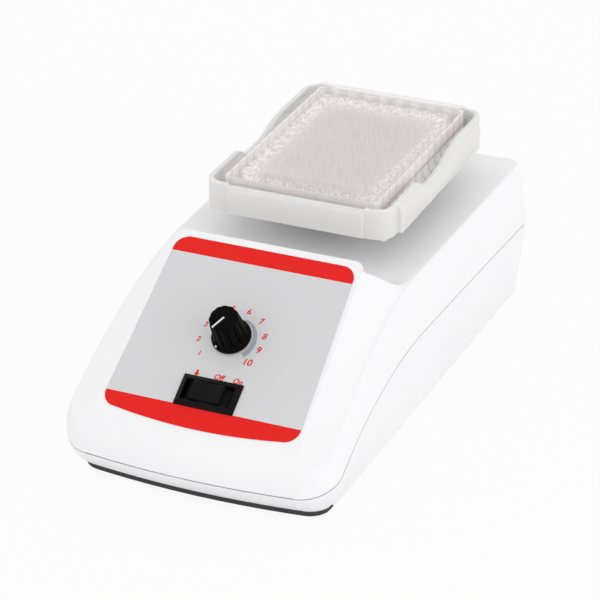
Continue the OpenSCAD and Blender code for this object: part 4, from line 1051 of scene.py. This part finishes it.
# ---- studio ----------------------------------------------------
# A white paper floor under an open sky that is brighter near the horizon, with a large
# soft lamp at the right and weaker ones in front, at the left and above.
floor_half, paper_glow, sky_low, sky_fall = 2500, 0.88, 1.185, 0.40
floor = cast("studio_floor", [(x * floor_half, y * floor_half, 0)
                              for x, y in ((-1, -1), (1, -1), (1, 1), (-1, 1))], [(0, 1, 2, 3)])
paper_mat = bpy.data.materials.new("studio_paper")
paper_mat.use_nodes = True
paper = Bench(paper_mat.node_tree)


def seen_rays(bench):
    """1 where the camera, a reflection or a clear piece looks at it."""
    total = bench.add("ShaderNodeLightPath", out="Is Camera Ray")
    kinds = total.socket.node.outputs
    for kind in ("Is Glossy Ray", "Is Transmission Ray"):
        total = bench.maths("MAXIMUM", total, Wire(bench, kinds[kind]))
    return total


matte = paper.add("ShaderNodeBsdfDiffuse", None, {"Color": shade((0.86, 0.86, 0.86))})
glow = paper.add("ShaderNodeEmission", None, {"Color": shade((1, 1, 1)), "Strength": 1.0})
lit = paper.add("ShaderNodeMixShader", None, {0: seen_rays(paper) * paper_glow, 1: matte, 2: glow})
paper.add("ShaderNodeOutputMaterial", None, {"Surface": lit})
floor.data.materials.append(paper_mat)
floor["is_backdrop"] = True

scene = bpy.context.scene
scene.view_settings.view_transform = "Standard"
world = bpy.data.worlds.new("studio_sky")
scene.world = world
world.use_nodes = True
sky = Bench(world.node_tree)
aim = sky.add("ShaderNodeTexCoord", out="Generated")
climb = sky.add("ShaderNodeSeparateXYZ", None, {"Vector": aim}, out="Z")
power = sky.maths("MAXIMUM", sky_low - climb * sky_fall, 0.0)
light = sky.add("ShaderNodeBackground", None, {"Color": shade((1, 1, 1)), "Strength": power})
backdrop = sky.add("ShaderNodeBackground", None, {"Color": shade((1, 1, 1)), "Strength": 1.0})
both = sky.add("ShaderNodeMixShader", None, {0: seen_rays(sky), 1: light, 2: backdrop})
sky.add("ShaderNodeOutputWorld", None, {"Surface": both})
lamp_aim = Vector((0, 0, 0.06))


def softbox(name, place, width, height, watts):
    lamp = bpy.data.lights.new(name, "AREA")
    lamp.shape, lamp.size, lamp.size_y, lamp.energy = "RECTANGLE", width, height, watts
    made = bpy.data.objects.new(name, lamp)
    scene.collection.objects.link(made)
    made.location = place
    made.rotation_euler = (lamp_aim - Vector(place)).to_track_quat("-Z", "Y").to_euler()


softbox("softbox_right", (1.6, -0.5, 0.6), 1.4, 0.9, 3.6)
softbox("softbox_front", (-0.2, -1.7, 0.6), 1.4, 0.8, 0.8)
softbox("softbox_left", (-1.6, -0.2, 0.7), 1.2, 0.9, 0.5)
softbox("softbox_top", (-0.2, 0.3, 1.9), 1.6, 1.6, 0.4)

camera_down, camera_turn = 27.42, 23.25
camera = bpy.data.objects.new("camera", bpy.data.cameras.new("camera"))
scene.collection.objects.link(camera)
camera.location = (0.50455, -1.1776, 0.70824)
camera.rotation_euler = (math.radians(90 - camera_down), 0, math.radians(camera_turn))
camera.data.lens, camera.data.sensor_width = 171, 36
scene.camera = camera

low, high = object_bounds()
